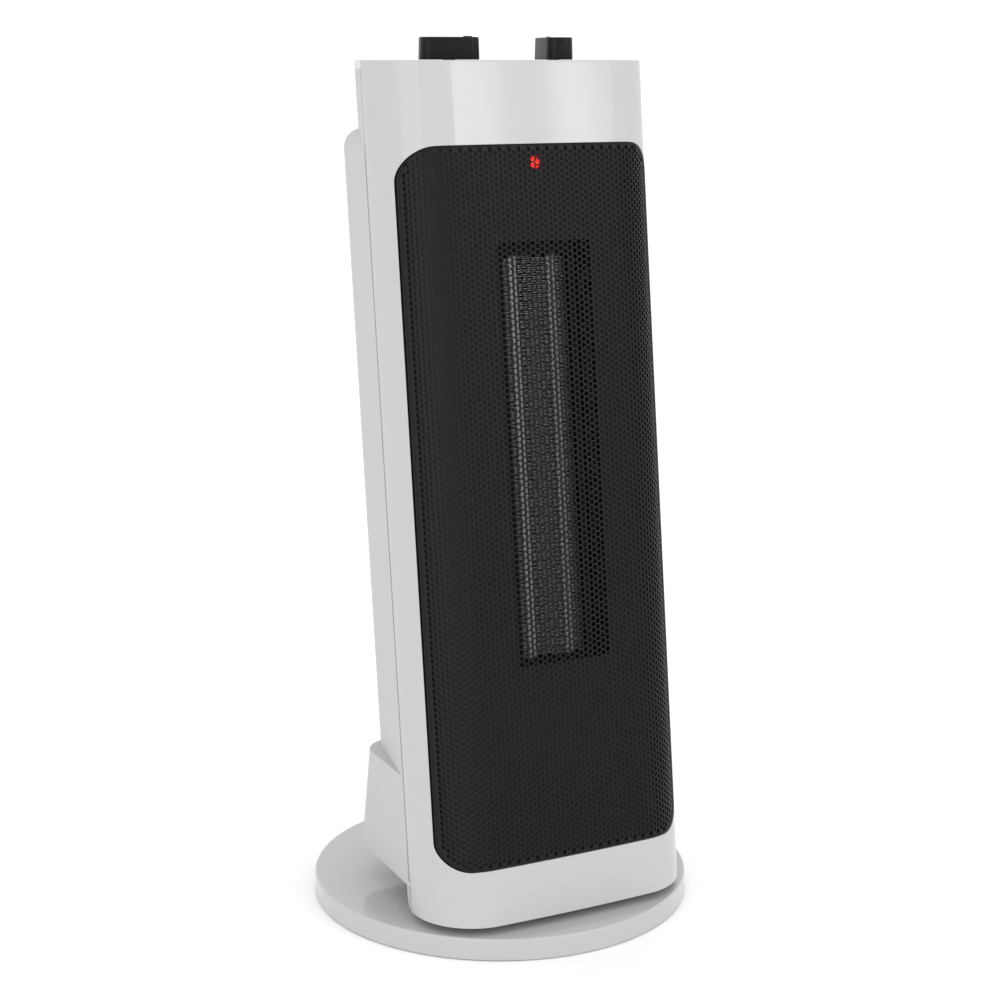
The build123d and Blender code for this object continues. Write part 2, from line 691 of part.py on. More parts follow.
SIDE_FIN = ELEMENT_HALF - TUBE_AT - TUBE_WIDTH / 2
MID_FIN = 2 * TUBE_AT - TUBE_WIDTH
FIN_BANKS = (
    (-ELEMENT_HALF + SIDE_FIN / 2, SIDE_FIN),
    (0, MID_FIN),
    (ELEMENT_HALF - SIDE_FIN / 2, SIDE_FIN),
)
FIN_COUNT = int(ELEMENT_LENGTH / FIN_PITCH)

with BuildPart() as heater_fins:
    for centre, width in FIN_BANKS:
        with BuildSketch(ELEMENT_PLANE):
            with Locations((centre, ELEMENT_MIDDLE)):
                with GridLocations(0, FIN_PITCH, 1, FIN_COUNT):
                    Rectangle(width, FIN_THICK)
                with GridLocations(width - FIN_RAIL, 0, 2, 1):
                    Rectangle(FIN_RAIL, ELEMENT_LENGTH)
        extrude(amount=ELEMENT_DEPTH)
save(heater_fins, "heater_fins")

with BuildPart() as heater_end_blocks:
    with BuildSketch(ELEMENT_PLANE):
        with Locations(
            (0, ELEMENT_LOW - END_BLOCK / 2),
            (0, ELEMENT_HIGH + END_BLOCK / 2),
        ):
            Rectangle(2 * ELEMENT_HALF, END_BLOCK)
    extrude(amount=ELEMENT_DEPTH + BLOCK_PROUD)
    with BuildSketch(ELEMENT_PLANE):
        with Locations((-TUBE_AT, ELEMENT_MIDDLE), (TUBE_AT, ELEMENT_MIDDLE)):
            Rectangle(TUBE_WIDTH, ELEMENT_LENGTH + TUBE_TAIL)
    extrude(amount=ELEMENT_DEPTH, mode=Mode.SUBTRACT)
save(heater_end_blocks, "heater_end_blocks")

CUTOUT_X = 20.0
CUTOUT_ALONG = 352.5
CUTOUT_RADIUS = 8.0
CUTOUT_DEPTH = 9.0
with BuildPart() as thermal_cutout:
    with BuildSketch(FACE.offset(HEATER_BACK - CUTOUT_DEPTH)):
        with Locations((-CUTOUT_X, CUTOUT_ALONG)):
            Circle(CUTOUT_RADIUS)
    extrude(amount=CUTOUT_DEPTH)
save(thermal_cutout, "thermal_cutout")

# ---- blower -----------------------------------------------------------------------------------
HOUSING_LOW = 129.0
HOUSING_HIGH = 334.0
HOUSING_PLATE = 2.0
WHEEL_LOW = 133.0
WHEEL_HIGH = 330.0
SCROLL_WALL = 1.8
SCROLL_RADIUS = 33.0
HOUSING_FRONT = -HEATER_BACK + 0.1
SCROLL_END = 75.0

with BuildPart() as blower_housing:
    with BuildSketch(TOWER.offset(HOUSING_LOW)):
        with BuildLine() as scroll:
            Line((SCROLL_RADIUS, HOUSING_FRONT), (SCROLL_RADIUS, FAN_AXIS))
            CenterArc((0, FAN_AXIS), SCROLL_RADIUS, 0, SCROLL_END)
        trace(line_width=SCROLL_WALL)
        with BuildLine() as tongue:
            Line((-SCROLL_RADIUS, HOUSING_FRONT), (-SCROLL_RADIUS, FAN_AXIS - 8))
        trace(line_width=SCROLL_WALL)
    extrude(amount=HOUSING_HIGH - HOUSING_LOW)
    for level in (HOUSING_LOW, HOUSING_HIGH - HOUSING_PLATE):
        with BuildSketch(TOWER.offset(level)):
            with Locations((0, (HOUSING_FRONT + FAN_AXIS) / 2)):
                Rectangle(2 * SCROLL_RADIUS + SCROLL_WALL, FAN_AXIS - HOUSING_FRONT)
            with Locations((0, FAN_AXIS)):
                Circle(SCROLL_RADIUS + SCROLL_WALL / 2)
                Circle(7.0, mode=Mode.SUBTRACT)
        extrude(amount=HOUSING_PLATE)
save(blower_housing, "blower_housing")

BLADE_CHORD = 7.0
END_DISC = 1.6
HUB_OF_WHEEL = 6.0
with BuildPart() as blower_wheel:
    with BuildSketch(TOWER.offset(WHEEL_LOW)):
        with Locations((0, FAN_AXIS)):
            with PolarLocations(FAN_RADIUS - BLADE_CHORD / 2 - 0.4, FAN_BLADES):
                Rectangle(BLADE_CHORD, 0.9, rotation=28)
    extrude(amount=WHEEL_HIGH - WHEEL_LOW)
    middle = (WHEEL_LOW + WHEEL_HIGH) / 2
    for level in (WHEEL_LOW, middle, WHEEL_HIGH - END_DISC):
        with BuildSketch(TOWER.offset(level)):
            with Locations((0, FAN_AXIS)):
                Circle(FAN_RADIUS)
                Circle(SHAFT_RADIUS, mode=Mode.SUBTRACT)
        extrude(amount=END_DISC)
    with BuildSketch(TOWER.offset(WHEEL_LOW)):
        with Locations((0, FAN_AXIS)):
            Circle(HUB_OF_WHEEL)
            Circle(SHAFT_RADIUS, mode=Mode.SUBTRACT)
    extrude(amount=12)
save(blower_wheel, "blower_wheel")

SHAFT_LOW = 58.0
SHAFT_HIGH = 338.0
with BuildPart() as blower_shaft:
    with BuildSketch(TOWER.offset(SHAFT_LOW)):
        with Locations((0, FAN_AXIS)):
            Circle(SHAFT_RADIUS)
    extrude(amount=SHAFT_HIGH - SHAFT_LOW)
save(blower_shaft, "blower_shaft")

with BuildPart() as upper_bearing:
    with BuildSketch(TOWER.offset(HOUSING_HIGH - HOUSING_PLATE)):
        with Locations((0, FAN_AXIS)):
            Circle(7.0)
            Circle(SHAFT_RADIUS + RUNNING, mode=Mode.SUBTRACT)
    extrude(amount=6.0)
save(upper_bearing, "upper_bearing")

# ---- blower motor -----------------------------------------------------------------------------
STATOR_LOW = 76.0
STATOR_TALL = 20.0
STATOR_WIDE = 58.0
STATOR_DEEP = 50.0
ROTOR_RADIUS = 14.5
AIR_GAP = 0.5
BRACKET_LOW = 66.0
BRACKET_HIGH = 104.0
BRACKET_THICK = 3.0
MOTOR_POST_X = 24.0
MOTOR_POST_Y = FAN_AXIS + 13.0
MOTOR_POST_SPOTS = [(-MOTOR_POST_X, MOTOR_POST_Y), (MOTOR_POST_X, MOTOR_POST_Y)]

with BuildPart() as motor_stator:
    with BuildSketch(TOWER.offset(STATOR_LOW)):
        with Locations((0, FAN_AXIS - 6)):
            Rectangle(STATOR_WIDE, STATOR_DEEP)
        with Locations((0, FAN_AXIS)):
            Circle(ROTOR_RADIUS + AIR_GAP, mode=Mode.SUBTRACT)
        with Locations((-16.5, FAN_AXIS - 24.5), (16.5, FAN_AXIS - 24.5)):
            Rectangle(9, 7, mode=Mode.SUBTRACT)
    extrude(amount=STATOR_TALL)
    with BuildSketch(TOWER.offset(STATOR_LOW)):
        with Locations(*MOTOR_POST_SPOTS):
            Circle(2.0)
    extrude(amount=STATOR_TALL, mode=Mode.SUBTRACT)
save(motor_stator, "motor_stator")

with BuildPart() as motor_coil:
    with BuildSketch(TOWER.offset(STATOR_LOW - 7)):
        with Locations((0, FAN_AXIS - 36)):
            Rectangle(32, 8)
    extrude(amount=STATOR_TALL + 14)
    fillet(motor_coil.edges(), 2.0)
    with BuildSketch(TOWER.offset(STATOR_LOW)):
        with Locations((0, FAN_AXIS - 6)):
            Rectangle(STATOR_WIDE, STATOR_DEEP)
    extrude(amount=STATOR_TALL, mode=Mode.SUBTRACT)
save(motor_coil, "motor_coil")

with BuildPart() as motor_rotor:
    with BuildSketch(TOWER.offset(STATOR_LOW - 1)):
        with Locations((0, FAN_AXIS)):
            Circle(ROTOR_RADIUS)
            Circle(SHAFT_RADIUS, mode=Mode.SUBTRACT)
    extrude(amount=STATOR_TALL + 2)
save(motor_rotor, "motor_rotor")

with BuildPart() as motor_brackets:
    for level in (BRACKET_LOW, BRACKET_HIGH):
        with BuildSketch(TOWER.offset(level)):
            with Locations((0, FAN_AXIS)):
                SlotCenterToCenter(2 * MOTOR_POST_X, 14.0)
                Circle(11.0)
            with Locations(*MOTOR_POST_SPOTS):
                Rectangle(12, 30)
            with Locations((0, FAN_AXIS)):
                Circle(SHAFT_RADIUS + RUNNING, mode=Mode.SUBTRACT)
            with Locations(*MOTOR_POST_SPOTS):
                Circle(2.0, mode=Mode.SUBTRACT)
        extrude(amount=BRACKET_THICK)
save(motor_brackets, "motor_brackets")

with BuildPart() as motor_bolts:
    with BuildSketch(TOWER.offset(BRACKET_LOW)):
        with Locations(*MOTOR_POST_SPOTS):
            Circle(1.9)
    extrude(amount=HOUSING_LOW - BRACKET_LOW)
    with BuildSketch(TOWER.offset(BRACKET_LOW - 3)):
        with Locations(*MOTOR_POST_SPOTS):
            Circle(3.6)
    extrude(amount=3)
save(motor_bolts, "motor_bolts")

# ---- rear casing ------------------------------------------------------------------------------
INTAKE_HALF = 38.0
INTAKE_LOW = 120.0
INTAKE_HIGH = 340.0
INTAKE_CORNER = 8.0
LOUVRE_PITCH = (24.0, 7.0)
LOUVRE_COUNT = (3, 29)
LOUVRE_SIZE = (20.0, 3.4)
FILTER_FROM_BACK = 9.5
GLAND_ALONG = 52.0
GLAND_RADIUS = 6.5
GLAND_INNER = 20.0
GLAND_LENGTH = 17.0
GLAND_FLANGE = 30.5
CORD_BORE = 3.6
GRIP_HALF = 46.0
GRIP_LOW = 403.0
GRIP_HIGH = 421.0
GRIP_DEPTH = 17.0
NECK_BACK_Y = 47.5

with BuildPart() as rear_shell:
    add(rear_form(0))
    add(rear_form(WALL), mode=Mode.SUBTRACT)
    add(seam_groove.part, mode=Mode.SUBTRACT)
    # hand grip scooped into the back of the neck
    with BuildSketch(Plane.XY.offset(GRIP_LOW - 2)):
        with Locations((0, NECK_BACK_Y - GRIP_DEPTH / 2)):
            Rectangle(2 * GRIP_HALF + 4, GRIP_DEPTH + 2)
    extrude(amount=GRIP_HIGH - GRIP_LOW + 4)
    with BuildSketch(Plane.XY.offset(GRIP_LOW)):
        with Locations((0, NECK_BACK_Y - GRIP_DEPTH / 2 + 5)):
            RectangleRounded(2 * GRIP_HALF, GRIP_DEPTH + 10, 6)
    extrude(amount=GRIP_HIGH - GRIP_LOW, mode=Mode.SUBTRACT)
    # air intake opening in the back
    with BuildSketch(FACE):
        add(front_pocket(INTAKE_HALF, INTAKE_LOW, INTAKE_HIGH, INTAKE_CORNER, INTAKE_CORNER))
    extrude(amount=-60, mode=Mode.SUBTRACT)
    # hole for the cord gland
    with BuildSketch(FACE):
        with Locations((0, GLAND_ALONG)):
            Circle(GLAND_RADIUS)
    extrude(amount=-70, mode=Mode.SUBTRACT)
    # case screw bosses inside the neck
    with BuildSketch(FACE.offset(-SEAM - 1)):
        with Locations(*CASE_SCREW_SPOTS):
            Circle(5.5)
    extrude(amount=-46)
    with BuildSketch(FACE.offset(-SEAM - 4)):
        with Locations(*CASE_SCREW_SPOTS):
            Circle(3.5)
    extrude(amount=-80, mode=Mode.SUBTRACT)
    with BuildSketch(FACE.offset(-SEAM)):
        with Locations(*CASE_SCREW_SPOTS):
            Circle(SCREW_CLEARANCE)
    extrude(amount=-6, mode=Mode.SUBTRACT)
    add(floor_bosses(TRAY_SCREW_REAR_Y, 70.5))
save(rear_shell, "rear_shell")

with BuildPart() as intake_grille:
    add(rear_form(0.3))
    add(rear_form(WALL - 0.1), mode=Mode.SUBTRACT)
    with BuildSketch(FACE):
        add(
            front_pocket(
                INTAKE_HALF - 0.3,
                INTAKE_LOW + 0.3,
                INTAKE_HIGH - 0.3,
                INTAKE_CORNER,
                INTAKE_CORNER,
            )
        )
    extrude(amount=-60, mode=Mode.INTERSECT)
    with BuildSketch(FACE):
        with Locations((0, (INTAKE_LOW + INTAKE_HIGH) / 2)):
            with GridLocations(*LOUVRE_PITCH, *LOUVRE_COUNT):
                SlotOverall(*LOUVRE_SIZE)
    extrude(amount=-60, mode=Mode.SUBTRACT)
save(intake_grille, "intake_grille")

with BuildPart() as dust_filter:
    with BuildSketch(FACE.offset(-SEAM - BODY[1] + FILTER_FROM_BACK)):
        with Locations((0, (INTAKE_LOW + INTAKE_HIGH) / 2)):
            Rectangle(2 * INTAKE_HALF - 4, INTAKE_HIGH - INTAKE_LOW - 4)
    extrude(amount=1.2)
save(dust_filter, "dust_filter")

with BuildPart() as cord_gland:
    with BuildSketch(FACE.offset(-GLAND_INNER)):
        with Locations((0, GLAND_ALONG)):
            Circle(GLAND_RADIUS - 0.2)
    extrude(amount=-GLAND_LENGTH)
    with BuildSketch(FACE.offset(-GLAND_FLANGE)):
        with Locations((0, GLAND_ALONG)):
            Circle(GLAND_RADIUS + 2.5)
    extrude(amount=-2.0)
    with BuildSketch(FACE.offset(-GLAND_INNER)):
        with Locations((0, GLAND_ALONG)):
            Circle(CORD_BORE)
    extrude(amount=-GLAND_LENGTH, mode=Mode.SUBTRACT)
save(cord_gland, "cord_gland")

with BuildPart() as case_screws:
    with BuildSketch(FACE.offset(-SEAM - 4)):
        with Locations(*CASE_SCREW_SPOTS):
            Circle(2.9)
    extrude(amount=-2.2)
    with BuildSketch(FACE.offset(-SEAM - 4)):
        with Locations(*CASE_SCREW_SPOTS):
            Circle(SCREW_RADIUS)
    extrude(amount=15)
save(case_screws, "case_screws")

# ---- top panel and controls ---------------------------------------------------------------------
PANEL_THICK = 4.0
BUSH_RADIUS = 4.5
SPINDLE_RADIUS = 3.0
SPINDLE_LOW = 414.0
KNOB_DRAFT = 1.5
SOCKET_DEPTH = 7.5
PIP_FROM_END = 5.4
PIP_SIZE = (4.4, 1.8)
PIP_HEIGHT = 0.5
THERMOSTAT_LOW = 402.0
SELECTOR_LOW = 400.0
CONTROL_TOP = 421.0

with BuildPart() as top_panel:
    add(leaning_prism(front_outline(WALL + 0.15, SEAM + 1), TOP - PANEL_THICK, TOP))
    add(leaning_prism(rear_outline(0, SEAM, SEAM, *NECK), TOP - PANEL_THICK, TOP))
    with BuildSketch(Plane.XY.offset(TOP)):
        with Locations((-KNOB_X, KNOB_Y), (KNOB_X, KNOB_Y)):
            Circle(BUSH_RADIUS + 0.2)
    extrude(amount=-PANEL_THICK, mode=Mode.SUBTRACT)
save(top_panel, "top_panel")


def knob(x, turn):
    """Bar knob with drafted sides, a pip near one end of its top and a socket for its spindle."""
    along = (cos(radians(turn)), sin(radians(turn)), 0)
    underside = Plane(origin=(x, KNOB_Y, TOP + KNOB_GAP), x_dir=along)
    with BuildPart() as bar:
        with BuildSketch(underside):
            RectangleRounded(KNOB_LENGTH, KNOB_WIDTH, KNOB_CORNER)
        extrude(amount=KNOB_HEIGHT, taper=KNOB_DRAFT)
        with BuildSketch(underside.offset(KNOB_HEIGHT)):
            with Locations((KNOB_LENGTH / 2 - PIP_FROM_END, 0)):
                SlotOverall(*PIP_SIZE)
        extrude(amount=PIP_HEIGHT)
        with BuildSketch(underside):
            Circle(SPINDLE_RADIUS)
        extrude(amount=SOCKET_DEPTH, mode=Mode.SUBTRACT)
    return bar


def spindle(x, low):
    """Control spindle standing up through the panel into its knob."""
    with BuildPart() as rod:
        with BuildSketch(Plane.XY.offset(low)):
            with Locations((x, KNOB_Y)):
                Circle(SPINDLE_RADIUS)
        extrude(amount=TOP + KNOB_GAP + SOCKET_DEPTH - low)
    return rod


thermostat_knob = knob(-KNOB_X, THERMOSTAT_TURN)
save(thermostat_knob, "thermostat_knob")
selector_knob = knob(KNOB_X, SELECTOR_TURN)
save(selector_knob, "selector_knob")
thermostat_spindle = spindle(-KNOB_X, SPINDLE_LOW)
save(thermostat_spindle, "thermostat_spindle")
selector_spindle = spindle(KNOB_X, SPINDLE_LOW)
save(selector_spindle, "selector_spindle")

with BuildPart() as thermostat:
    with BuildSketch(Plane.XY.offset(THERMOSTAT_LOW)):
        with Locations((-KNOB_X, KNOB_Y)):
            Rectangle(26, 22)
    extrude(amount=CONTROL_TOP - THERMOSTAT_LOW)
    fillet(thermostat.edges().filter_by(Axis.Z), 2.0)
    with BuildSketch(Plane.XY.offset(CONTROL_TOP)):
        with Locations((-KNOB_X, KNOB_Y)):
            Circle(BUSH_RADIUS)
    extrude(amount=TOP - CONTROL_TOP)
    with BuildSketch(Plane.XY.offset(TOP)):
        with Locations((-KNOB_X, KNOB_Y)):
            Circle(SPINDLE_RADIUS + RUNNING)
    extrude(amount=-(TOP - SPINDLE_LOW + 0.5), mode=Mode.SUBTRACT)
save(thermostat, "thermostat")

with BuildPart() as selector_switch:
    with BuildSketch(Plane.XY.offset(SELECTOR_LOW)):
        with Locations((KNOB_X, KNOB_Y)):
            Circle(13.0)
    extrude(amount=CONTROL_TOP - SELECTOR_LOW)
    with BuildSketch(Plane.XY.offset(CONTROL_TOP)):
        with Locations((KNOB_X, KNOB_Y)):
            Circle(BUSH_RADIUS)
    extrude(amount=TOP - CONTROL_TOP)
    with BuildSketch(Plane.XY.offset(TOP)):
        with Locations((KNOB_X, KNOB_Y)):
            Circle(SPINDLE_RADIUS + RUNNING)
    extrude(amount=-(TOP - SPINDLE_LOW + 0.5), mode=Mode.SUBTRACT)
save(selector_switch, "selector_switch")

# ---- terminals, cord clamp and the screws of the tower floor --------------------------------------
TERMINAL_SPOT = (-52, -13)
TERMINAL_HEIGHT = 12.0
TERMINAL_PITCH = 10.0
CLAMP_X = 41.0
CLAMP_Y = 18.0
CLAMP_HEIGHT = 10.0

with BuildPart() as terminal_block:
    with BuildSketch(Plane.XY.offset(TRAY_TOP)):
        with Locations(TERMINAL_SPOT):
            Rectangle(16, 34)
    extrude(amount=TERMINAL_HEIGHT)
    with BuildSketch(Plane.XY.offset(TRAY_TOP + TERMINAL_HEIGHT)):
        with Locations(TERMINAL_SPOT):
            with GridLocations(0, TERMINAL_PITCH, 1, 3):
                Circle(2.2)
    extrude(amount=-8, mode=Mode.SUBTRACT)
save(terminal_block, "terminal_block")

with BuildPart() as cord_clamp:
    with BuildSketch(Plane.XY.offset(TRAY_TOP)):
        with Locations((CLAMP_X, CLAMP_Y)):
            Rectangle(16, 9)
    extrude(amount=CLAMP_HEIGHT)
    with BuildSketch(Plane.XZ.offset(-CLAMP_Y + 8)):
        with Locations((CLAMP_X, TRAY_TOP + 6)):
            Circle(3.2)
    extrude(amount=-20, mode=Mode.SUBTRACT)
save(cord_clamp, "cord_clamp")

with BuildPart() as tray_screws:
    with BuildSketch(Plane.XY.offset(TRAY_BOTTOM)):
        with Locations(*TRAY_SCREW_SPOTS):
            Circle(2.9)
    extrude(amount=-1.6)
    with BuildSketch(Plane.XY.offset(TRAY_BOTTOM)):
        with Locations(*TRAY_SCREW_SPOTS):
            Circle(1.6)
    extrude(amount=9.0)
save(tray_screws, "tray_screws")
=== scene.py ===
"""Looks of a ceramic tower heater that swings on a round base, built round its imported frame."""

import json
import logging
import math
from dataclasses import dataclass, field
from enum import Enum

import bpy
import numpy as np
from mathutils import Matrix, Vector


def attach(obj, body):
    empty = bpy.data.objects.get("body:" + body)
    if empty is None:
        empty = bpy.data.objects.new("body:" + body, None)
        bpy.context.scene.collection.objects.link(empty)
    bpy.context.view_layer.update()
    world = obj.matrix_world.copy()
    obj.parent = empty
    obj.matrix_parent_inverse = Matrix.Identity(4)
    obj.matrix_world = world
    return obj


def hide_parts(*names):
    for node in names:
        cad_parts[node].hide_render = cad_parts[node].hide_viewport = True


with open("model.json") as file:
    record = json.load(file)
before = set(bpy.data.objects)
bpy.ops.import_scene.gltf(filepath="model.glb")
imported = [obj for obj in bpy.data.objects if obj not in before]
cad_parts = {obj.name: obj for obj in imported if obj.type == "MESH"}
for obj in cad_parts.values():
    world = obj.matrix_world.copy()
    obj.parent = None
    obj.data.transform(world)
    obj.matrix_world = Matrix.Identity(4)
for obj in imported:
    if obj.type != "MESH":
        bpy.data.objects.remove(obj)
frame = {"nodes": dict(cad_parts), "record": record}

MM = 0.001
CLOUDS_PER_METRE = 22.0
DIODE_RED = "E8281E"
log = logging.getLogger("heater")

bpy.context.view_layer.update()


# ---- helpers ------------------------------------------------------------------------------
def linear(code: str) -> tuple[float, float, float, float]:
    """Turn an sRGB hex colour into linear light.

    Args:
        code: six hex digits, such as "CFCFCE".

    Returns:
        Red, green, blue and alpha in linear light.
    """
    parts = [int(code[i : i + 2], 16) / 255 for i in (0, 2, 4)]
    light = [c / 12.92 if c <= 0.04045 else ((c + 0.055) / 1.055) ** 2.4 for c in parts]
    return (light[0], light[1], light[2], 1.0)


def add_node(
    tree: bpy.types.NodeTree,
    kind: str,
    settings: dict[str, object] | None = None,
    inputs: dict[str | int, object] | None = None,
) -> bpy.types.Node:
    """Add one shader node, set it up and link what feeds it.

    Args:
        tree: node tree that receives the node.
        kind: Blender's name of the node type.
        settings: properties of the node itself.
        inputs: value or feeding socket of each named input.

    Returns:
        The new node.
    """
    node = tree.nodes.new(kind)
    for name, value in (settings or {}).items():
        setattr(node, name, value)
    for name, value in (inputs or {}).items():
        if isinstance(value, bpy.types.NodeSocket):
            tree.links.new(value, node.inputs[name])
        else:
            node.inputs[name].default_value = value
    return node


def make_piece(
    name: str,
    points: np.ndarray,
    faces: list[tuple[int, ...]],
    smooth_below: float = 35.0,
) -> bpy.types.Object:
    """Make a mesh object from points in millimetres.

    Args:
        name: name of the piece.
        points: one row for each vertex, in millimetres.
        faces: vertex numbers of each face, counter-clockwise from outside.
        smooth_below: edges that turn less than this many degrees are shaded smooth.

    Returns:
        The new object, linked to the scene.
    """
    mesh = bpy.data.meshes.new(name)
    mesh.from_pydata((np.asarray(points, float) * MM).tolist(), [], faces)
    mesh.validate()
    mesh.shade_smooth()
    mesh.set_sharp_from_angle(angle=math.radians(smooth_below))
    piece = bpy.data.objects.new(name, mesh)
    bpy.context.scene.collection.objects.link(piece)
    return piece


def join_shapes(shapes: list[tuple[np.ndarray, list[tuple[int, ...]]]]) -> tuple[np.ndarray, list]:
    """Put several shapes, each with its points and faces, into one list of each.

    Args:
        shapes: points and faces of each shape.

    Returns:
        All points in one array, and all faces renumbered to match.
    """
    points, faces, start = [], [], 0
    for shape_points, shape_faces in shapes:
        points.append(np.asarray(shape_points, float))
        faces += [tuple(start + i for i in face) for face in shape_faces]
        start += len(shape_points)
    return np.vstack(points), faces


def stack_rings(rings: list[np.ndarray], closed: bool = False) -> tuple[np.ndarray, list]:
    """Skin a stack of rings that all have the same number of points.

    Args:
        rings: closed rings, each counter-clockwise seen from the side that the stack grows to.
        closed: join the last ring to the first one instead of capping both ends.

    Returns:
        Points and faces of the skin.
    """
    count = len(rings[0])
    faces = []
    pairs = len(rings) if closed else len(rings) - 1
    for level in range(pairs):
        low, high = level * count, ((level + 1) % len(rings)) * count
        for i in range(count):
            j = (i + 1) % count
            faces.append((low + i, low + j, high + j, high + i))
    if not closed:
        faces.append(tuple(reversed(range(count))))
        faces.append(tuple((len(rings) - 1) * count + i for i in range(count)))
    return np.vstack(rings), faces


def turned(profile: list[tuple[float, float]], centre: tuple[float, float, float], steps: int) -> tuple:
    """Turn a profile of radius and height about an upright axis.

    Args:
        profile: radius and height of each ring, from the bottom up, in millimetres.
        centre: foot of the axis.
        steps: points round each ring.

    Returns:
        Points and faces of the turned shape.
    """
    angles = np.linspace(0, 2 * math.pi, steps, endpoint=False)
    rings = []
    for radius, height in profile:
        ring = np.stack([radius * np.cos(angles), radius * np.sin(angles), np.full(steps, height)], axis=1)
        rings.append(ring + np.array(centre))
    return stack_rings(rings)


# ---- finishes -----------------------------------------------------------------------------
class Grain(Enum):
    """Kinds of surface relief that a finish can have."""

    SPARK = "fine pits of a spark-eroded mould"
    PEEL = "soft waves of baked enamel"
    ROLLED = "streaks along the rolling direction"
    WOVEN = "crossing threads"
    TURNED = "rings left by a lathe"


@dataclass(frozen=True)
class Finish:
    """One surface finish, built as a procedural material.

    Grain size and depth are in millimetres. Mottle is the share by which the tone varies, and the
    roughness spread is how far the gloss follows the relief.
    """

    name: str
    colour: str
    roughness: float
    metallic: float = 0.0
    grain: Grain = Grain.SPARK
    grain_size: float = 0.5
    depth: float = 0.01
    mottle: float = 0.03
    roughness_spread: float = 0.04
    specular: float = 0.5

    def relief(self, tree: bpy.types.NodeTree, place: bpy.types.NodeSocket) -> bpy.types.NodeSocket:
        """Height of the surface relief, from 0 to 1.

        Args:
            tree: the material's node tree.
            place: position on the object, in metres.

        Returns:
            Socket that carries the height.
        """
        scale = 1.0 / (self.grain_size * MM)
        if self.grain is Grain.SPARK:
            pits = add_node(
                tree, "ShaderNodeTexNoise", None,
                {"Vector": place, "Scale": scale, "Detail": 3.0, "Roughness": 0.6},
            )
            return pits.outputs["Fac"]
        if self.grain is Grain.PEEL:
            waves = add_node(
                tree, "ShaderNodeTexNoise", None,
                {"Vector": place, "Scale": scale, "Detail": 1.0, "Roughness": 0.4},
            )
            return waves.outputs["Fac"]
        if self.grain is Grain.ROLLED:
            stretch = add_node(
                tree, "ShaderNodeMapping", None, {"Vector": place, "Scale": (1.0, 1.0, 0.04)}
            )
            streaks = add_node(
                tree, "ShaderNodeTexNoise", None,
                {"Vector": stretch.outputs["Vector"], "Scale": scale, "Detail": 4.0, "Roughness": 0.6},
            )
            return streaks.outputs["Fac"]
        if self.grain is Grain.TURNED:
            rings = add_node(
                tree, "ShaderNodeTexWave", {"wave_type": "RINGS", "rings_direction": "Z"},
                {"Vector": place, "Scale": scale / 20.0, "Distortion": 0.4, "Detail": 1.0},
            )
            return rings.outputs["Fac"]
        warp = add_node(
            tree, "ShaderNodeTexWave", {"bands_direction": "X"},
            {"Vector": place, "Scale": scale / 20.0, "Distortion": 0.2},
        )
        weft = add_node(
            tree, "ShaderNodeTexWave", {"bands_direction": "Z"},
            {"Vector": place, "Scale": scale / 20.0, "Distortion": 0.2},
        )
        threads = add_node(
            tree, "ShaderNodeMath", {"operation": "MAXIMUM"},
            {0: warp.outputs["Fac"], 1: weft.outputs["Fac"]},
        )
        return threads.outputs["Value"]

    def material(self) -> bpy.types.Material:
        """Build the material once and reuse it.

        Returns:
            The material of this finish.
        """
        known = bpy.data.materials.get(self.name)
        if known:
            return known
        material = bpy.data.materials.new(self.name)
        material.use_nodes = True
        tree = material.node_tree
        tree.nodes.clear()
        place = add_node(tree, "ShaderNodeTexCoord").outputs["Object"]
        height = self.relief(tree, place)
        cloud = add_node(
            tree, "ShaderNodeTexNoise", None,
            {"Vector": place, "Scale": CLOUDS_PER_METRE, "Detail": 4.0, "Roughness": 0.55},
        )
        base = linear(self.colour)
        shade = [tuple(c * k for c in base[:3]) + (1.0,) for k in (1 - self.mottle, 1 + self.mottle)]
        tone = add_node(
            tree, "ShaderNodeMix", {"data_type": "RGBA"},
            {0: cloud.outputs["Fac"], 6: shade[0], 7: shade[1]},
        )
        gloss = add_node(
            tree, "ShaderNodeMapRange", None,
            {
                "Value": height,
                "To Min": max(self.roughness - self.roughness_spread, 0.02),
                "To Max": self.roughness + self.roughness_spread,
            },
        )
        bump = add_node(
            tree, "ShaderNodeBump", None, {"Height": height, "Strength": 1.0, "Distance": self.depth * MM}
        )
        shader = add_node(
            tree, "ShaderNodeBsdfPrincipled", None,
            {
                "Base Color": tone.outputs[2],
                "Roughness": gloss.outputs["Result"],
                "Metallic": self.metallic,
                "Normal": bump.outputs["Normal"],
                "Specular IOR Level": self.specular,
            },
        )
        self.extra(shader)
        add_node(tree, "ShaderNodeOutputMaterial", None, {"Surface": shader.outputs["BSDF"]})
        return material

    def extra(self, shader: bpy.types.Node) -> None:
        """Set what only some finishes have; most have nothing more."""


@dataclass(frozen=True)
class GlowingLens(Finish):
    """Tinted lens lit from behind by its diode."""

    glow: float = 1.7

    def extra(self, shader: bpy.types.Node) -> None:
        """Add the diode's light and the lens's slight transparency."""
        shader.inputs["Emission Color"].default_value = linear(DIODE_RED)
        shader.inputs["Emission Strength"].default_value = self.glow
        shader.inputs["Transmission Weight"].default_value = 0.3
        shader.inputs["IOR"].default_value = 1.49


# Injection moulded ABS of the front frame, top panel and base: an even pale grey with a soft shine.
CASING = Finish(
    "moulded_abs_pale_grey", "BABABA", 0.12,
    grain_size=0.9, depth=0.0015, mottle=0.008, specular=0.45,
)
# The same plastic on the rear casing and the tower's floor, left with a dull mould texture.
CASING_DULL = Finish(
    "moulded_abs_pale_grey_dull", "BCBCBC", 0.45,
    grain_size=0.9, depth=0.003, mottle=0.008, specular=0.1,
)
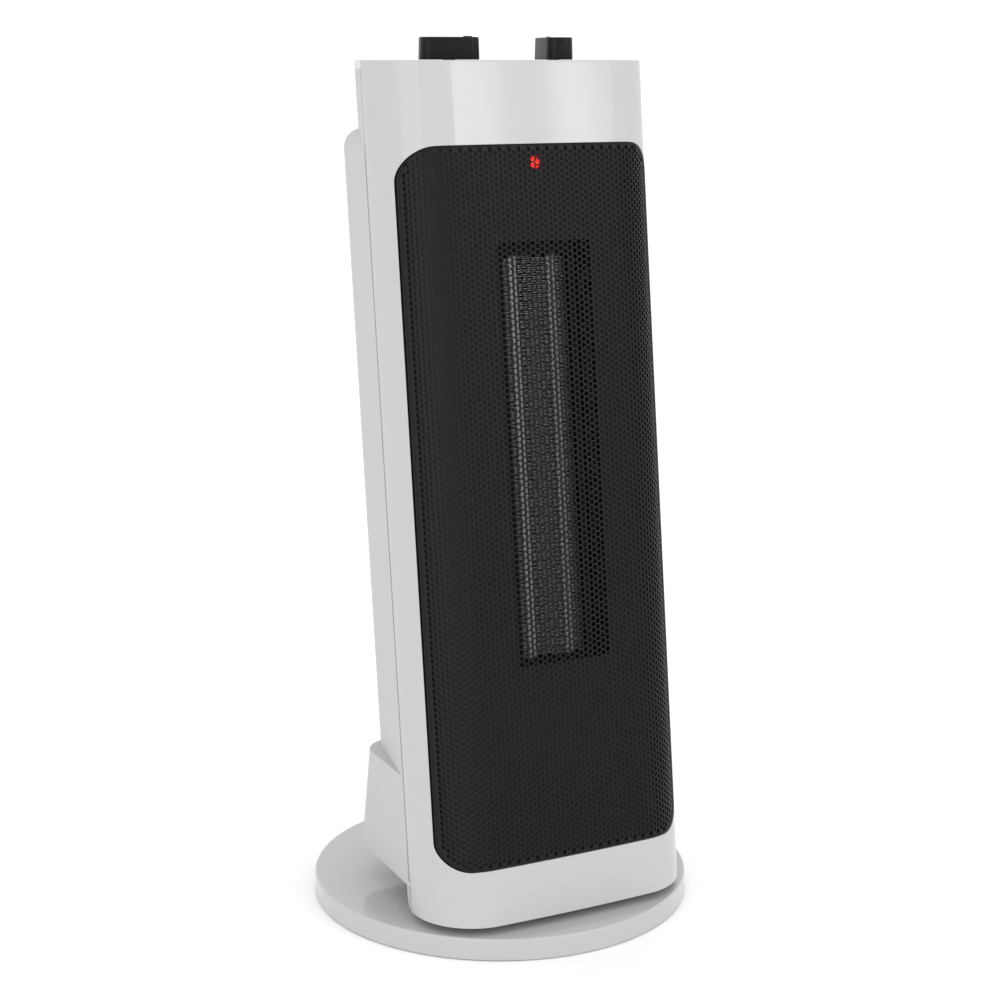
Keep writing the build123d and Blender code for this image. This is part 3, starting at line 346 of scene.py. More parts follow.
# Polypropylene of the base plate: darker, waxy, with a coarse mould texture.
BASE_PP = Finish("moulded_polypropylene_dark_grey", "353535", 0.5, grain_size=1.1, depth=0.02)
# ABS of the panel behind the front sheet: black with a dull shine, a little greyer than the sheet.
PANEL_ABS = Finish("moulded_abs_dull_black", "2B2B2E", 0.5, grain_size=0.8, depth=0.01, specular=0.3)
# Black glass-filled nylon near the element: dull, with a grainy skin.
BLACK_NYLON = Finish("moulded_nylon_black", "101012", 0.62, grain_size=0.8, depth=0.02, specular=0.15)
# Baked enamel on the perforated front: black, a faint sheen on every web.
ENAMEL = Finish(
    "baked_enamel_black", "141417", 0.42,
    grain=Grain.PEEL, grain_size=1.5, depth=0.01, mottle=0.06, specular=0.2,
)
# ABS of the knobs: deep grey-black with a satin shine that runs along the bar.
KNOB_ABS = Finish("moulded_abs_satin_black", "121213", 0.3, grain_size=0.6, depth=0.006, specular=0.18)
# Mill-finish aluminium of the element: streaked along its length, dulled by heat.
ALUMINIUM = Finish(
    "rolled_aluminium", "A2A3A4", 0.42, metallic=1.0,
    grain=Grain.ROLLED, grain_size=0.7, mottle=0.08, roughness_spread=0.1,
)
# Zinc plated steel of screws and brackets: bluish grey, mottled by the plating bath.
ZINC = Finish(
    "zinc_plated_steel", "A9ABA8", 0.36, metallic=1.0,
    grain=Grain.PEEL, grain_size=2.0, mottle=0.1, roughness_spread=0.08,
)
# Ground steel shafts: bright with fine rings.
GROUND_STEEL = Finish(
    "ground_steel", "B4B4B2", 0.22, metallic=1.0,
    grain=Grain.TURNED, grain_size=0.6, depth=0.004, mottle=0.04, roughness_spread=0.05,
)
# Stacked motor laminations: dark, dull steel with a line at each sheet.
LAMINATION = Finish(
    "laminated_steel", "6C6C70", 0.5, metallic=1.0,
    grain=Grain.WOVEN, grain_size=1.0, depth=0.05, mottle=0.1, roughness_spread=0.08,
)
# Drawn spring wire.
SPRING_STEEL = Finish(
    "drawn_spring_steel", "9A9A98", 0.28, metallic=1.0,
    grain=Grain.ROLLED, grain_size=0.4, depth=0.004, mottle=0.05, roughness_spread=0.06,
)
# Rough stamped ballast: dark grey iron with scale on it.
BALLAST = Finish(
    "stamped_iron", "4B4A4A", 0.6, metallic=0.9,
    grain_size=1.6, depth=0.06, mottle=0.2, roughness_spread=0.12,
)
# Turned brass of bearing and roller.
BRASS = Finish(
    "turned_brass", "B58D3D", 0.26, metallic=1.0,
    grain=Grain.TURNED, grain_size=0.7, depth=0.005, mottle=0.08, roughness_spread=0.06,
)
# Natural acetal of washer and crank: milky, waxy white.
ACETAL = Finish("moulded_acetal_natural", "E6E4DC", 0.4, grain_size=0.8, depth=0.008)
# Rubber of feet and cord gland: very dark with a fine dusty bloom.
RUBBER = Finish(
    "moulded_rubber_black", "181818", 0.75,
    grain_size=0.7, depth=0.03, mottle=0.12, specular=0.3,
)
# Phenolic paper board: tan with paper fibres.
BOARD = Finish(
    "phenolic_paper_board", "8E6B3F", 0.5,
    grain=Grain.WOVEN, grain_size=0.8, mottle=0.1,
)
# Pressed phenolic housings of the switches: dark brown, faintly glossy.
PHENOLIC = Finish("pressed_phenolic_brown", "2E1E15", 0.4, grain_size=0.9, mottle=0.1)
# Copper winding under its yellow-brown tape.
WINDING = Finish(
    "taped_copper_winding", "8A4A1E", 0.5, metallic=0.3,
    grain=Grain.WOVEN, grain_size=0.6, depth=0.05, mottle=0.15, roughness_spread=0.08,
)
# Woven nylon filter: dark crossing threads.
FILTER = Finish(
    "woven_nylon_filter", "26282A", 0.8,
    grain=Grain.WOVEN, grain_size=0.9, depth=0.2, mottle=0.1,
)
# Red polycarbonate lens, lit.
LENS = GlowingLens("moulded_polycarbonate_red", "C8140C", 0.2, grain_size=1.0, depth=0.004)
# Painted board under the heater.
FLOOR_BOARD = Finish(
    "painted_board_white", "FFFFFF", 0.9,
    grain_size=3.0, mottle=0.0, specular=0.1,
)

FINISH_OF_SLOT: dict[str, Finish] = {
    "casing": CASING,
    "casing_dull": CASING_DULL,
    "base_plastic": BASE_PP,
    "ballast_steel": BALLAST,
    "zinc_steel": ZINC,
    "rubber": RUBBER,
    "black_plastic": BLACK_NYLON,
    "panel_plastic": PANEL_ABS,
    "spring_steel": SPRING_STEEL,
    "acetal": ACETAL,
    "brass": BRASS,
    "grille_black": ENAMEL,
    "lamp_red": LENS,
    "board": BOARD,
    "element_aluminium": ALUMINIUM,
    "shaft_steel": GROUND_STEEL,
    "lamination_steel": LAMINATION,
    "winding": WINDING,
    "filter_mesh": FILTER,
    "knob_black": KNOB_ABS,
    "switch_phenolic": PHENOLIC,
}


def dress(piece: bpy.types.Object, slot: str) -> None:
    """Give a piece the finish of one of the record's material slots.

    Args:
        piece: mesh object to dress.
        slot: name of the slot.
    """
    piece.data.materials.clear()
    piece.data.materials.append(FINISH_OF_SLOT[slot].material())


def place_piece(piece: bpy.types.Object, slot: str, body: str, *nodes: str) -> bpy.types.Object:
    """Dress a new piece, fix it to its body and let it stand for CAD nodes.

    Args:
        piece: the new mesh object.
        slot: material slot that it takes its finish from.
        body: body that it moves with.
        nodes: CAD nodes that it stands for.

    Returns:
        The same piece.
    """
    dress(piece, slot)
    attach(piece, body)
    if nodes:
        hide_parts(*nodes)
    log.info("%s: %d faces on %s", piece.name, len(piece.data.polygons), body)
    return piece


# ---- form of the tower --------------------------------------------------------------------
@dataclass(frozen=True)
class TowerForm:
    """Bowed front plan and lean of the tower, in millimetres and degrees.

    A place on the front is given by its run s along the plan from the middle, and its height w
    along the lean; offset moves it out of the surface.
    """

    lean: float = 6.68
    half_width: float = 74.15
    nose: float = -83.9
    sag: float = 2.77
    corner: float = 32.0

    def bow(self) -> tuple[float, float, float]:
        """Radius of the bow, depth of the corner's centre and angle where the corner starts."""
        radius = (self.half_width**2 + self.sag**2) / (2 * self.sag)
        reach = self.half_width - self.corner
        centre = self.nose + radius - math.sqrt((radius - self.corner) ** 2 - reach**2)
        return radius, centre, math.asin(reach / (radius - self.corner))

    def run_at(self, u: np.ndarray) -> np.ndarray:
        """Run along the plan at a sideways distance.

        Args:
            u: distance from the middle, in millimetres.

        Returns:
            Run along the plan, signed as u.
        """
        radius, _, start = self.bow()
        reach = self.half_width - self.corner
        side = np.abs(u)
        flat = radius * np.arcsin(np.clip(side / radius, 0, 1))
        lean_in = np.arcsin(np.clip((side - reach) / self.corner, -1, 1))
        round_part = radius * start + self.corner * (lean_in - start)
        return np.sign(u) * np.where(side <= radius * math.sin(start), flat, round_part)

    def surface(self, s: np.ndarray, w: np.ndarray, offset: float | np.ndarray = 0.0) -> np.ndarray:
        """Points on the front or its offset.

        Args:
            s: run along the plan.
            w: height along the lean.
            offset: distance out of the front, negative inwards.

        Returns:
            One row of x, y and z for each point.
        """
        radius, centre, start = self.bow()
        reach = self.half_width - self.corner
        run = np.abs(s)
        angle = np.where(run <= radius * start, run / radius, start + (run - radius * start) / self.corner)
        angle = np.minimum(angle, math.pi / 2)
        flat = run <= radius * start
        u = np.where(flat, radius * np.sin(angle), reach + self.corner * np.sin(angle))
        v = np.where(flat, self.nose + radius - radius * np.cos(angle), centre - self.corner * np.cos(angle))
        u = np.sign(s) * (u + offset * np.sin(angle))
        v = v - offset * np.cos(angle)
        return self.to_frame(u, v, np.asarray(w, float))

    def to_frame(self, u: np.ndarray, v: np.ndarray, w: np.ndarray) -> np.ndarray:
        """Points given across, behind and along the leaning tower, in the shared frame."""
        tip = math.radians(self.lean)
        u, v, w = np.broadcast_arrays(u, v, w)
        y = v * math.cos(tip) + w * math.sin(tip)
        z = -v * math.sin(tip) + w * math.cos(tip)
        return np.stack([u, y, z], axis=-1)


FORM = TowerForm()


@dataclass(frozen=True)
class Pocket:
    """Rounded window in the front frame that holds the perforated sheet, in millimetres."""

    half: float = 69.4
    low: float = 34.4
    high: float = 384.3
    top_corner: float = 16.0
    low_corner: float = 15.0

    def depth_inside(self, u: np.ndarray, w: np.ndarray) -> tuple[np.ndarray, np.ndarray, np.ndarray]:
        """How far places lie inside the window's edge, and the way straight out.

        Args:
            u: distances from the middle.
            w: heights along the lean.

        Returns:
            Depth inside the edge, and the outward direction across and along.
        """
        middle = (self.low + self.high) / 2
        corner = np.where(w > middle, self.top_corner, self.low_corner)
        across = np.abs(u) - (self.half - corner)
        along = np.abs(w - middle) - ((self.high - self.low) / 2 - corner)
        both = np.hypot(np.maximum(across, 0), np.maximum(along, 0))
        distance = np.minimum(np.maximum(across, along), 0) + both - corner
        in_corner = both > 1e-9
        safe = np.where(in_corner, both, 1.0)
        out_u = np.where(in_corner, np.maximum(across, 0) / safe, (across > along).astype(float))
        out_w = np.where(in_corner, np.maximum(along, 0) / safe, (across <= along).astype(float))
        return -distance, out_u * np.sign(u), out_w * np.sign(w - middle)

    def outline(self, inset: float, step: float = 1.2) -> tuple[np.ndarray, np.ndarray]:
        """Points round the window, moved inwards by inset.

        Args:
            inset: distance inside the edge.
            step: spacing of the points along the straight sides.

        Returns:
            Distances from the middle and heights along the lean, counter-clockwise from outside.
        """
        corners = (
            (self.half - self.low_corner, self.low + self.low_corner, self.low_corner, -90),
            (self.half - self.top_corner, self.high - self.top_corner, self.top_corner, 0),
            (-self.half + self.top_corner, self.high - self.top_corner, self.top_corner, 90),
            (-self.half + self.low_corner, self.low + self.low_corner, self.low_corner, 180),
        )
        u, w = [], []
        for cu, cw, radius, start in corners:
            turn = np.radians(np.linspace(start, start + 90, 25))
            u.append(cu + (radius - inset) * np.cos(turn))
            w.append(cw + (radius - inset) * np.sin(turn))
        loop_u, loop_w = [], []
        for i in range(4):
            j = (i + 1) % 4
            span = math.hypot(u[j][0] - u[i][-1], w[j][0] - w[i][-1])
            count = max(int(span / step), 2)
            loop_u += [u[i], np.linspace(u[i][-1], u[j][0], count + 1)[1:-1]]
            loop_w += [w[i], np.linspace(w[i][-1], w[j][0], count + 1)[1:-1]]
        return np.concatenate(loop_u), np.concatenate(loop_w)


POCKET = Pocket()


# ---- perforated front ---------------------------------------------------------------------
@dataclass
class PerforatedFront:
    """Sheet with staggered hexagonal holes, wrapped round the bowed front, and its rolled rim."""

    inset: float = 0.9
    thickness: float = 0.8
    pitch: float = 2.97
    web: float = 0.66
    edge_gap: float = 0.25
    plain_edge: float = 0.95
    rim: tuple[tuple[float, float], ...] = (
        (0.3, -1.7), (0.3, -0.8), (0.38, -0.6), (0.55, -0.48),
        (0.8, -0.48), (1.0, -0.6), (1.1, -0.85), (1.1, -1.7),
    )

    def cells(self) -> tuple[np.ndarray, np.ndarray]:
        """Centres of the hexagonal cells that lie in the window.

        Returns:
            Runs and heights of the centres.
        """
        column = self.pitch * math.sqrt(3) / 2
        columns = int(FORM.run_at(np.array(POCKET.half)) / column) + 2
        rows = int((POCKET.high - POCKET.low) / self.pitch) + 3
        middle = (POCKET.low + POCKET.high) / 2
        s, w = [], []
        for i in range(-columns, columns + 1):
            shift = self.pitch / 2 if i % 2 else 0.0
            for j in range(-rows // 2 - 1, rows // 2 + 2):
                s.append(i * column)
                w.append(middle + j * self.pitch + shift)
        return np.array(s), np.array(w)

    def sideways(self, s: np.ndarray) -> np.ndarray:
        """Distance from the middle at a run along the plan."""
        return FORM.surface(s, np.zeros_like(s))[..., 0]

    def sheet(self, side: int) -> bpy.types.Object:
        """One half of the perforated sheet.

        Args:
            side: -1 for the left half seen from the front, 1 for the right half.

        Returns:
            The half sheet as one closed mesh.
        """
        s, w = self.cells()
        keep = (s < 0) if side < 0 else (s >= 0)
        s, w = s[keep], w[keep]
        depth, _, _ = POCKET.depth_inside(self.sideways(s), w)
        keep = depth > self.edge_gap + 0.2
        s, w, depth = s[keep], w[keep], depth[keep]
        turn = np.radians(np.arange(6) * 60)
        outer_radius = self.pitch / math.sqrt(3)
        hole_radius = outer_radius * (1 - self.web / self.pitch)
        bored = depth > self.plain_edge + hole_radius
        index: dict[tuple[int, int], int] = {}
        flat: list[tuple[float, float]] = []
        faces: list[tuple[int, ...]] = []
        for cs, cw, is_bored in zip(s.tolist(), w.tolist(), bored.tolist()):
            ring = []
            for angle in turn.tolist():
                ps, pw = cs + outer_radius * math.cos(angle), cw + outer_radius * math.sin(angle)
                key = (round(ps * 20), round(pw * 20))
                if key not in index:
                    index[key] = len(flat)
                    flat.append((ps, pw))
                ring.append(index[key])
            if not is_bored:
                faces.append(tuple(ring))
                continue
            hole = len(flat)
            for angle in turn.tolist():
                flat.append((cs + hole_radius * math.cos(angle), cw + hole_radius * math.sin(angle)))
            for i in range(6):
                j = (i + 1) % 6
                faces.append((ring[i], ring[j], hole + j, hole + i))
        place = np.array(flat)
        place = self.held_inside(place)
        front = FORM.surface(place[:, 0], place[:, 1], -self.inset)
        back = FORM.surface(place[:, 0], place[:, 1], -self.inset - self.thickness)
        points, faces = self.thicken(front, back, faces)
        name = "front_sheet_left" if side < 0 else "front_sheet_right"
        return make_piece(name, points, faces, 30.0)

    def held_inside(self, place: np.ndarray) -> np.ndarray:
        """Pull points that overshoot the window's edge back to it.

        Args:
            place: run and height of each point.

        Returns:
            The same points, none nearer to the edge than the gap.
        """
        u, w = self.sideways(place[:, 0]), place[:, 1]
        depth, out_u, out_w = POCKET.depth_inside(u, w)
        over = np.maximum(self.edge_gap - depth, 0)
        u_new = np.where(over > 0, u - out_u * over, u)
        s_new = np.where(over > 0, FORM.run_at(u_new), place[:, 0])
        return np.stack([s_new, w - out_w * over], axis=1)

    @staticmethod
    def thicken(front: np.ndarray, back: np.ndarray, faces: list[tuple[int, ...]]) -> tuple:
        """Close a sheet given by its front faces with a back and walls at every open edge.

        Args:
            front: points of the front.
            back: the same points on the back.
            faces: faces of the front.

        Returns:
            Points and faces of the closed sheet.
        """
        count = len(front)
        edges = {}
        for face in faces:
            for a, b in zip(face, face[1:] + face[:1]):
                edges[(a, b)] = True
        solid = list(faces)
        solid += [tuple(count + i for i in reversed(face)) for face in faces]
        solid += [(b, a, count + a, count + b) for a, b in edges if (b, a) not in edges]
        return np.vstack([front, back]), solid

    def rolled_rim(self) -> bpy.types.Object:
        """Smooth bead that the sheet's edge is rolled into."""
        rings = []
        for inset, out in self.rim:
            u, w = POCKET.outline(inset)
            rings.append(FORM.surface(FORM.run_at(u), w, out))
        points, faces = stack_rings(rings, closed=True)
        return make_piece("front_sheet_rim", points, faces, 50.0)

    def build(self) -> None:
        """Build both halves and the rim in place of the plain sheet."""
        for side in (-1, 1):
            place_piece(self.sheet(side), "grille_black", "tower", "front_grille")
        place_piece(self.rolled_rim(), "grille_black", "tower", "front_grille")


# ---- heating element ----------------------------------------------------------------------
@dataclass
class HeatingElement:
    """Banks of corrugated aluminium fins soldered between the element's flat tubes."""

    front: float = -71.4
    depth: float = 15.0
    low: float = 133.6
    high: float = 331.7
    half: float = 20.1
    tube_at: float = 10.6
    tube_width: float = 2.8
    tube_lip: float = 0.55
    tube_dish: float = 1.3
    wave: float = 2.24
    ribbon: float = 0.26
    rail: float = 0.3
    steps: int = 12

    def banks(self) -> list[tuple[float, float]]:
        """Left and right edge of each bank of fins."""
        inner = self.tube_at - self.tube_width / 2
        outer = self.tube_at + self.tube_width / 2
        return [(-self.half, -outer), (-inner, inner), (outer, self.half)]

    def ribbon_shape(self, left: float, right: float) -> tuple[np.ndarray, list]:
        """Corrugated ribbon that fills one bank.

        Args:
            left: left edge of the bank.
            right: right edge of the bank.

        Returns:
            Points and faces of the ribbon.
        """
        waves = int((self.high - self.low) / self.wave)
        count = waves * self.steps + 1
        phase = np.linspace(0, waves * 2 * math.pi, count)
        w = self.low + 0.4 + phase / (2 * math.pi) * (self.high - self.low - 0.8) / waves
        middle, reach = (left + right) / 2, (right - left) / 2 - self.rail - self.ribbon / 2
        swing = np.tanh(5.0 * np.sin(phase)) / math.tanh(5.0)
        u = middle + reach * swing
        du, dw = np.gradient(u), np.gradient(w)
        length = np.hypot(du, dw)
        nu, nw = -dw / length * self.ribbon / 2, du / length * self.ribbon / 2
        loops = []
        for v in (self.front, self.front + self.depth):
            loops.append(FORM.to_frame(u + nu, v, w + nw))
            loops.append(FORM.to_frame(u - nu, v, w - nw))
        points = np.vstack(loops)
        faces = []
        front_up, front_low, back_up, back_low = (k * count for k in range(4))
        for i in range(count - 1):
            faces.append((front_low + i, front_low + i + 1, front_up + i + 1, front_up + i))
            faces.append((back_up + i, back_up + i + 1, back_low + i + 1, back_low + i))
            faces.append((front_up + i, front_up + i + 1, back_up + i + 1, back_up + i))
            faces.append((back_low + i, back_low + i + 1, front_low + i + 1, front_low + i))
        return points, faces

    def rail_shape(self, u: float) -> tuple[np.ndarray, list]:
        """Thin side strip that holds the crests of a ribbon."""
        rings = []
        for w in (self.low, self.high):
            corner_u = np.array([u - self.rail / 2, u + self.rail / 2, u + self.rail / 2, u - self.rail / 2])
            corner_v = np.array([self.front, self.front, self.front + self.depth, self.front + self.depth])
            rings.append(FORM.to_frame(corner_u, corner_v, w))
        return stack_rings(rings)

    def tube_shape(self, u: float) -> tuple[np.ndarray, list]:
        """Flat tube with two raised lips along its front, between which the heating stones lie."""
        half, lip, dish = self.tube_width / 2, self.tube_lip, self.tube_dish
        front, back = self.front, self.front + self.depth
        section = [
            (-half, front + 0.15), (-half + 0.15, front),
            (-half + lip, front), (-half + lip + 0.1, front + dish),
            (half - lip - 0.1, front + dish), (half - lip, front),
            (half - 0.15, front), (half, front + 0.15),
            (half, back), (-half, back),
        ]
        rings = []
        for w in (self.low - 3.5, self.high + 3.5):
            corners = np.array(section)
            rings.append(FORM.to_frame(u + corners[:, 0], corners[:, 1], w))
        return stack_rings(rings)

    def build(self) -> None:
        """Build the tubes and the fins in place of the plain ones."""
        points, faces = join_shapes([self.tube_shape(-self.tube_at), self.tube_shape(self.tube_at)])
        tubes = make_piece("lipped_tubes", points, faces, 20.0)
        place_piece(tubes, "element_aluminium", "tower", "heater_tubes")
        shapes = []
        for left, right in self.banks():
            shapes.append(self.ribbon_shape(left, right))
            shapes.append(self.rail_shape(left + self.rail / 2))
            shapes.append(self.rail_shape(right - self.rail / 2))
        points, faces = join_shapes(shapes)
        fins = make_piece("corrugated_fins", points, faces, 60.0)
        place_piece(fins, "element_aluminium", "tower", "heater_fins")


# ---- controls -----------------------------------------------------------------------------
@dataclass
class BarKnob:
    """Bar knob with a rounded outline, a softly broken top edge and a raised pip."""

    name: str
    body: str
    x: float
    turn: float
    y: float = -2.0
    bottom: float = 430.55
    length: float = 29.5
    width: float = 13.5
    corner: float = 5.5
    height: float = 10.75
    draft: float = 1.5
    edge: float = 0.7
    pip_from_end: float = 5.4
    pip_length: float = 4.4
    pip_width: float = 1.8
    pip_height: float = 0.5

    def bar_ring(self, inset: float, z: float) -> np.ndarray:
        """Rounded outline of the bar at one height.

        Args:
            inset: distance inside the bar's foot outline.
            z: height above the knob's foot.

        Returns:
            Points of the ring, in the shared frame.
        """
        half_l, half_w = self.length / 2 - inset, self.width / 2 - inset
        radius = max(self.corner - inset, 0.4)
        return self.rounded_ring(0.0, half_l, half_w, radius, z)

    def rounded_ring(
        self, middle: float, half_l: float, half_w: float, radius: float, z: float
    ) -> np.ndarray:
        """Rounded rectangle along the bar, turned to the knob's place.

        Args:
            middle: distance of its middle from the knob's axis, along the bar.
            half_l: half its length.
            half_w: half its width.
            radius: radius of its corners.
            z: height above the knob's foot.

        Returns:
            Points of the ring, in the shared frame.
        """
        along, across = [], []
        for sign_l, sign_w, start in ((1, -1, -90), (1, 1, 0), (-1, 1, 90), (-1, -1, 180)):
            arc = np.radians(np.linspace(start, start + 90, 13))
            along.append(middle + sign_l * (half_l - radius) + radius * np.cos(arc))
            across.append(sign_w * (half_w - radius) + radius * np.sin(arc))
        a, b = np.concatenate(along), np.concatenate(across)
        turn = math.radians(self.turn)
        x = self.x + a * math.cos(turn) - b * math.sin(turn)
        y = self.y + a * math.sin(turn) + b * math.cos(turn)
        return np.stack([x, y, np.full_like(x, self.bottom + z)], axis=1)

    def build(self) -> None:
        """Build the knob in place of its CAD node."""
        slope = math.tan(math.radians(self.draft))
        rings = [self.bar_ring(0.3, 0.0), self.bar_ring(0.05, 0.12), self.bar_ring(0.0, 0.4)]
        shoulder = self.height - self.edge
        rings.append(self.bar_ring(shoulder * slope, shoulder))
        for step in range(1, 6):
            bend = math.radians(18 * step)
            inset = shoulder * slope + self.edge * (1 - math.cos(bend))
            rings.append(self.bar_ring(inset, shoulder + self.edge * math.sin(bend)))
        rings.append(self.bar_ring(shoulder * slope + self.edge + 1.2, self.height))
        bar = stack_rings(rings)
        middle = self.length / 2 - self.pip_from_end
        half_l, half_w = self.pip_length / 2, self.pip_width / 2
        top = self.pip_height
        levels = ((0.0, -0.2), (0.0, top - 0.25), (0.08, top - 0.08), (0.25, top))
        pip = stack_rings(
            [
                self.rounded_ring(middle, half_l - i, half_w - i, half_w - i - 0.01, self.height + z)
                for i, z in levels
            ]
        )
        points, faces = join_shapes([bar, pip])
        piece = make_piece(self.name, points, faces, 40.0)
        place_piece(piece, "knob_black", self.body, f"{self.body.split('_')[0]}_knob")


# ---- fasteners and small parts --------------------------------------------------------------
@dataclass
class CrossScrews:
    """Group of screws with domed heads and cross recesses."""

    node: str
    slot: str
    body: str
    head_radius: float
    head_height: float
    places: list[tuple[float, float, float]]
    outward: tuple[float, float, float]
    shank_radius: float = 1.3
    shank_length: float = 7.0
    steps: int = 48

    def one(self) -> tuple[np.ndarray, list]:
        """One screw that stands on the origin with its head up."""
        angles = np.linspace(0, 2 * math.pi, self.steps, endpoint=False)
        arm, half = self.head_radius * 0.55, self.head_radius * 0.14
        fold = np.abs((angles + math.pi / 4) % (math.pi / 2) - math.pi / 4)
        cross = np.minimum(arm / np.cos(fold), half / np.maximum(np.sin(fold), 1e-3))
        cross = np.minimum(cross, arm * 1.01)

        def ring(radius: np.ndarray | float, z: float) -> np.ndarray:
            """Ring of the screw at one height, with one radius or one for each angle."""
            level = np.full(self.steps, z)
            return np.stack([radius * np.cos(angles), radius * np.sin(angles), level], axis=1)

        r, h = self.head_radius, self.head_height
        rings = [
            ring(self.shank_radius, -self.shank_length), ring(self.shank_radius, 0.0),
            ring(r * 0.98, 0.0), ring(r, 0.12 * h), ring(r * 0.97, 0.5 * h),
            ring(r * 0.85, 0.8 * h), ring(r * 0.68, 0.95 * h), ring(cross, h),
            ring(cross * 0.96, h - 0.05), ring(cross * 0.55, 0.35 * h),
        ]
        return stack_rings(rings)

    def build(self) -> None:
        """Build the group in place of its CAD node."""
        rotation = Vector((0, 0, 1)).rotation_difference(Vector(self.outward)).to_matrix()
        turn = np.array([list(row) for row in rotation])
        points, faces = self.one()
        shapes = [(points @ turn.T + np.array(place), faces) for place in self.places]
        all_points, all_faces = join_shapes(shapes)
        piece = make_piece(f"{self.node}_detailed", all_points, all_faces, 30.0)
        place_piece(piece, self.slot, self.body, self.node)


@dataclass
class Footing:
    """Five moulded rubber pads under the base, each with a grooved sole."""

    circle: float = 80.0
    radius: float = 8.0
    count: int = 5
    height: float = 0.6

    def build(self) -> None:
        """Build the pads in place of the plain discs."""
        r, h = self.radius, self.height
        profile = [
            (r * 0.35, 0.2), (r * 0.38, 0.0), (r * 0.55, 0.0), (r * 0.58, 0.2), (r * 0.7, 0.2),
            (r * 0.73, 0.0), (r - 0.3, 0.0), (r - 0.1, 0.1), (r, 0.25), (r, h),
        ]
        shapes = []
        for i in range(self.count):
            angle = math.radians(90 + i * 360 / self.count)
            centre = (self.circle * math.cos(angle), self.circle * math.sin(angle), 0.0)
            shapes.append(turned(profile, centre, 48))
        points, faces = join_shapes(shapes)
        place_piece(make_piece("grooved_feet", points, faces), "rubber", "base", "rubber_feet")


@dataclass
class SignalLamp:
    """Domed red lens with a small bezel, shining through the perforated front."""

    along: float = 375.5
    front: float = -81.5
    back: float = -72.0
    radius: float = 3.0
    bezel: float = 0.4
    dome: float = 2.7

    def build(self) -> None:
        """Build the lens in place of its CAD node."""
        angles = np.linspace(0, 2 * math.pi, 40, endpoint=False)
        length = self.front - self.back
        wide = self.radius + self.bezel
        profile = [(wide, 0.0), (wide, -0.8), (self.radius, -1.0), (self.radius, length + self.dome)]
        for step in range(1, 7):
            bend = math.radians(13 * step)
            rise = self.dome * (1 - math.sin(bend))
            profile.append((self.radius * math.cos(bend), length + rise))
        rings = []
        for radius, out in profile:
            u, w = radius * np.cos(angles), self.along + radius * np.sin(angles)
            rings.append(FORM.to_frame(u, self.back + out, w))
        points, faces = stack_rings(rings)
        place_piece(make_piece("lamp_lens", points, faces), "lamp_red", "tower", "indicator_lamp")


# ---- casing and inner parts -----------------------------------------------------------------
@dataclass
class CarriedParts:
    """CAD nodes that keep their shape and only get their finish."""

    slots: dict[str, str] = field(
        default_factory=lambda: {row["node"]: row["material_slot"] for row in frame["record"]["subparts"]}
    )
    dull: tuple[str, ...] = ("rear_shell", "intake_grille", "bottom_tray")

    def build(self) -> None:
        """Dress every CAD node with the finish of its slot, and the rear casing with the dull one."""
        for name, node in frame["nodes"].items():
            dress(node, "casing_dull" if name in self.dull else self.slots[name])
            log.info("%s: carried over, %s", name, self.slots[name])


# ---- studio -------------------------------------------------------------------------------
@dataclass(frozen=True)
class SoftBox:
    """One soft light, in metres and watts."""

    name: str
    place: tuple[float, float, float]
    target: tuple[float, float, float]
    size: tuple[float, float]
    power: float

    def hang(self) -> None:
        """Hang the light and point it at its target."""
        data = bpy.data.lights.new(self.name, "AREA")
        data.shape = "RECTANGLE"
        data.size, data.size_y = self.size
        data.energy = self.power
        light = bpy.data.objects.new(self.name, data)
        light.location = self.place
        aim = Vector(self.target) - Vector(self.place)
        light.rotation_euler = aim.to_track_quat("-Z", "Y").to_euler()
        bpy.context.scene.collection.objects.link(light)


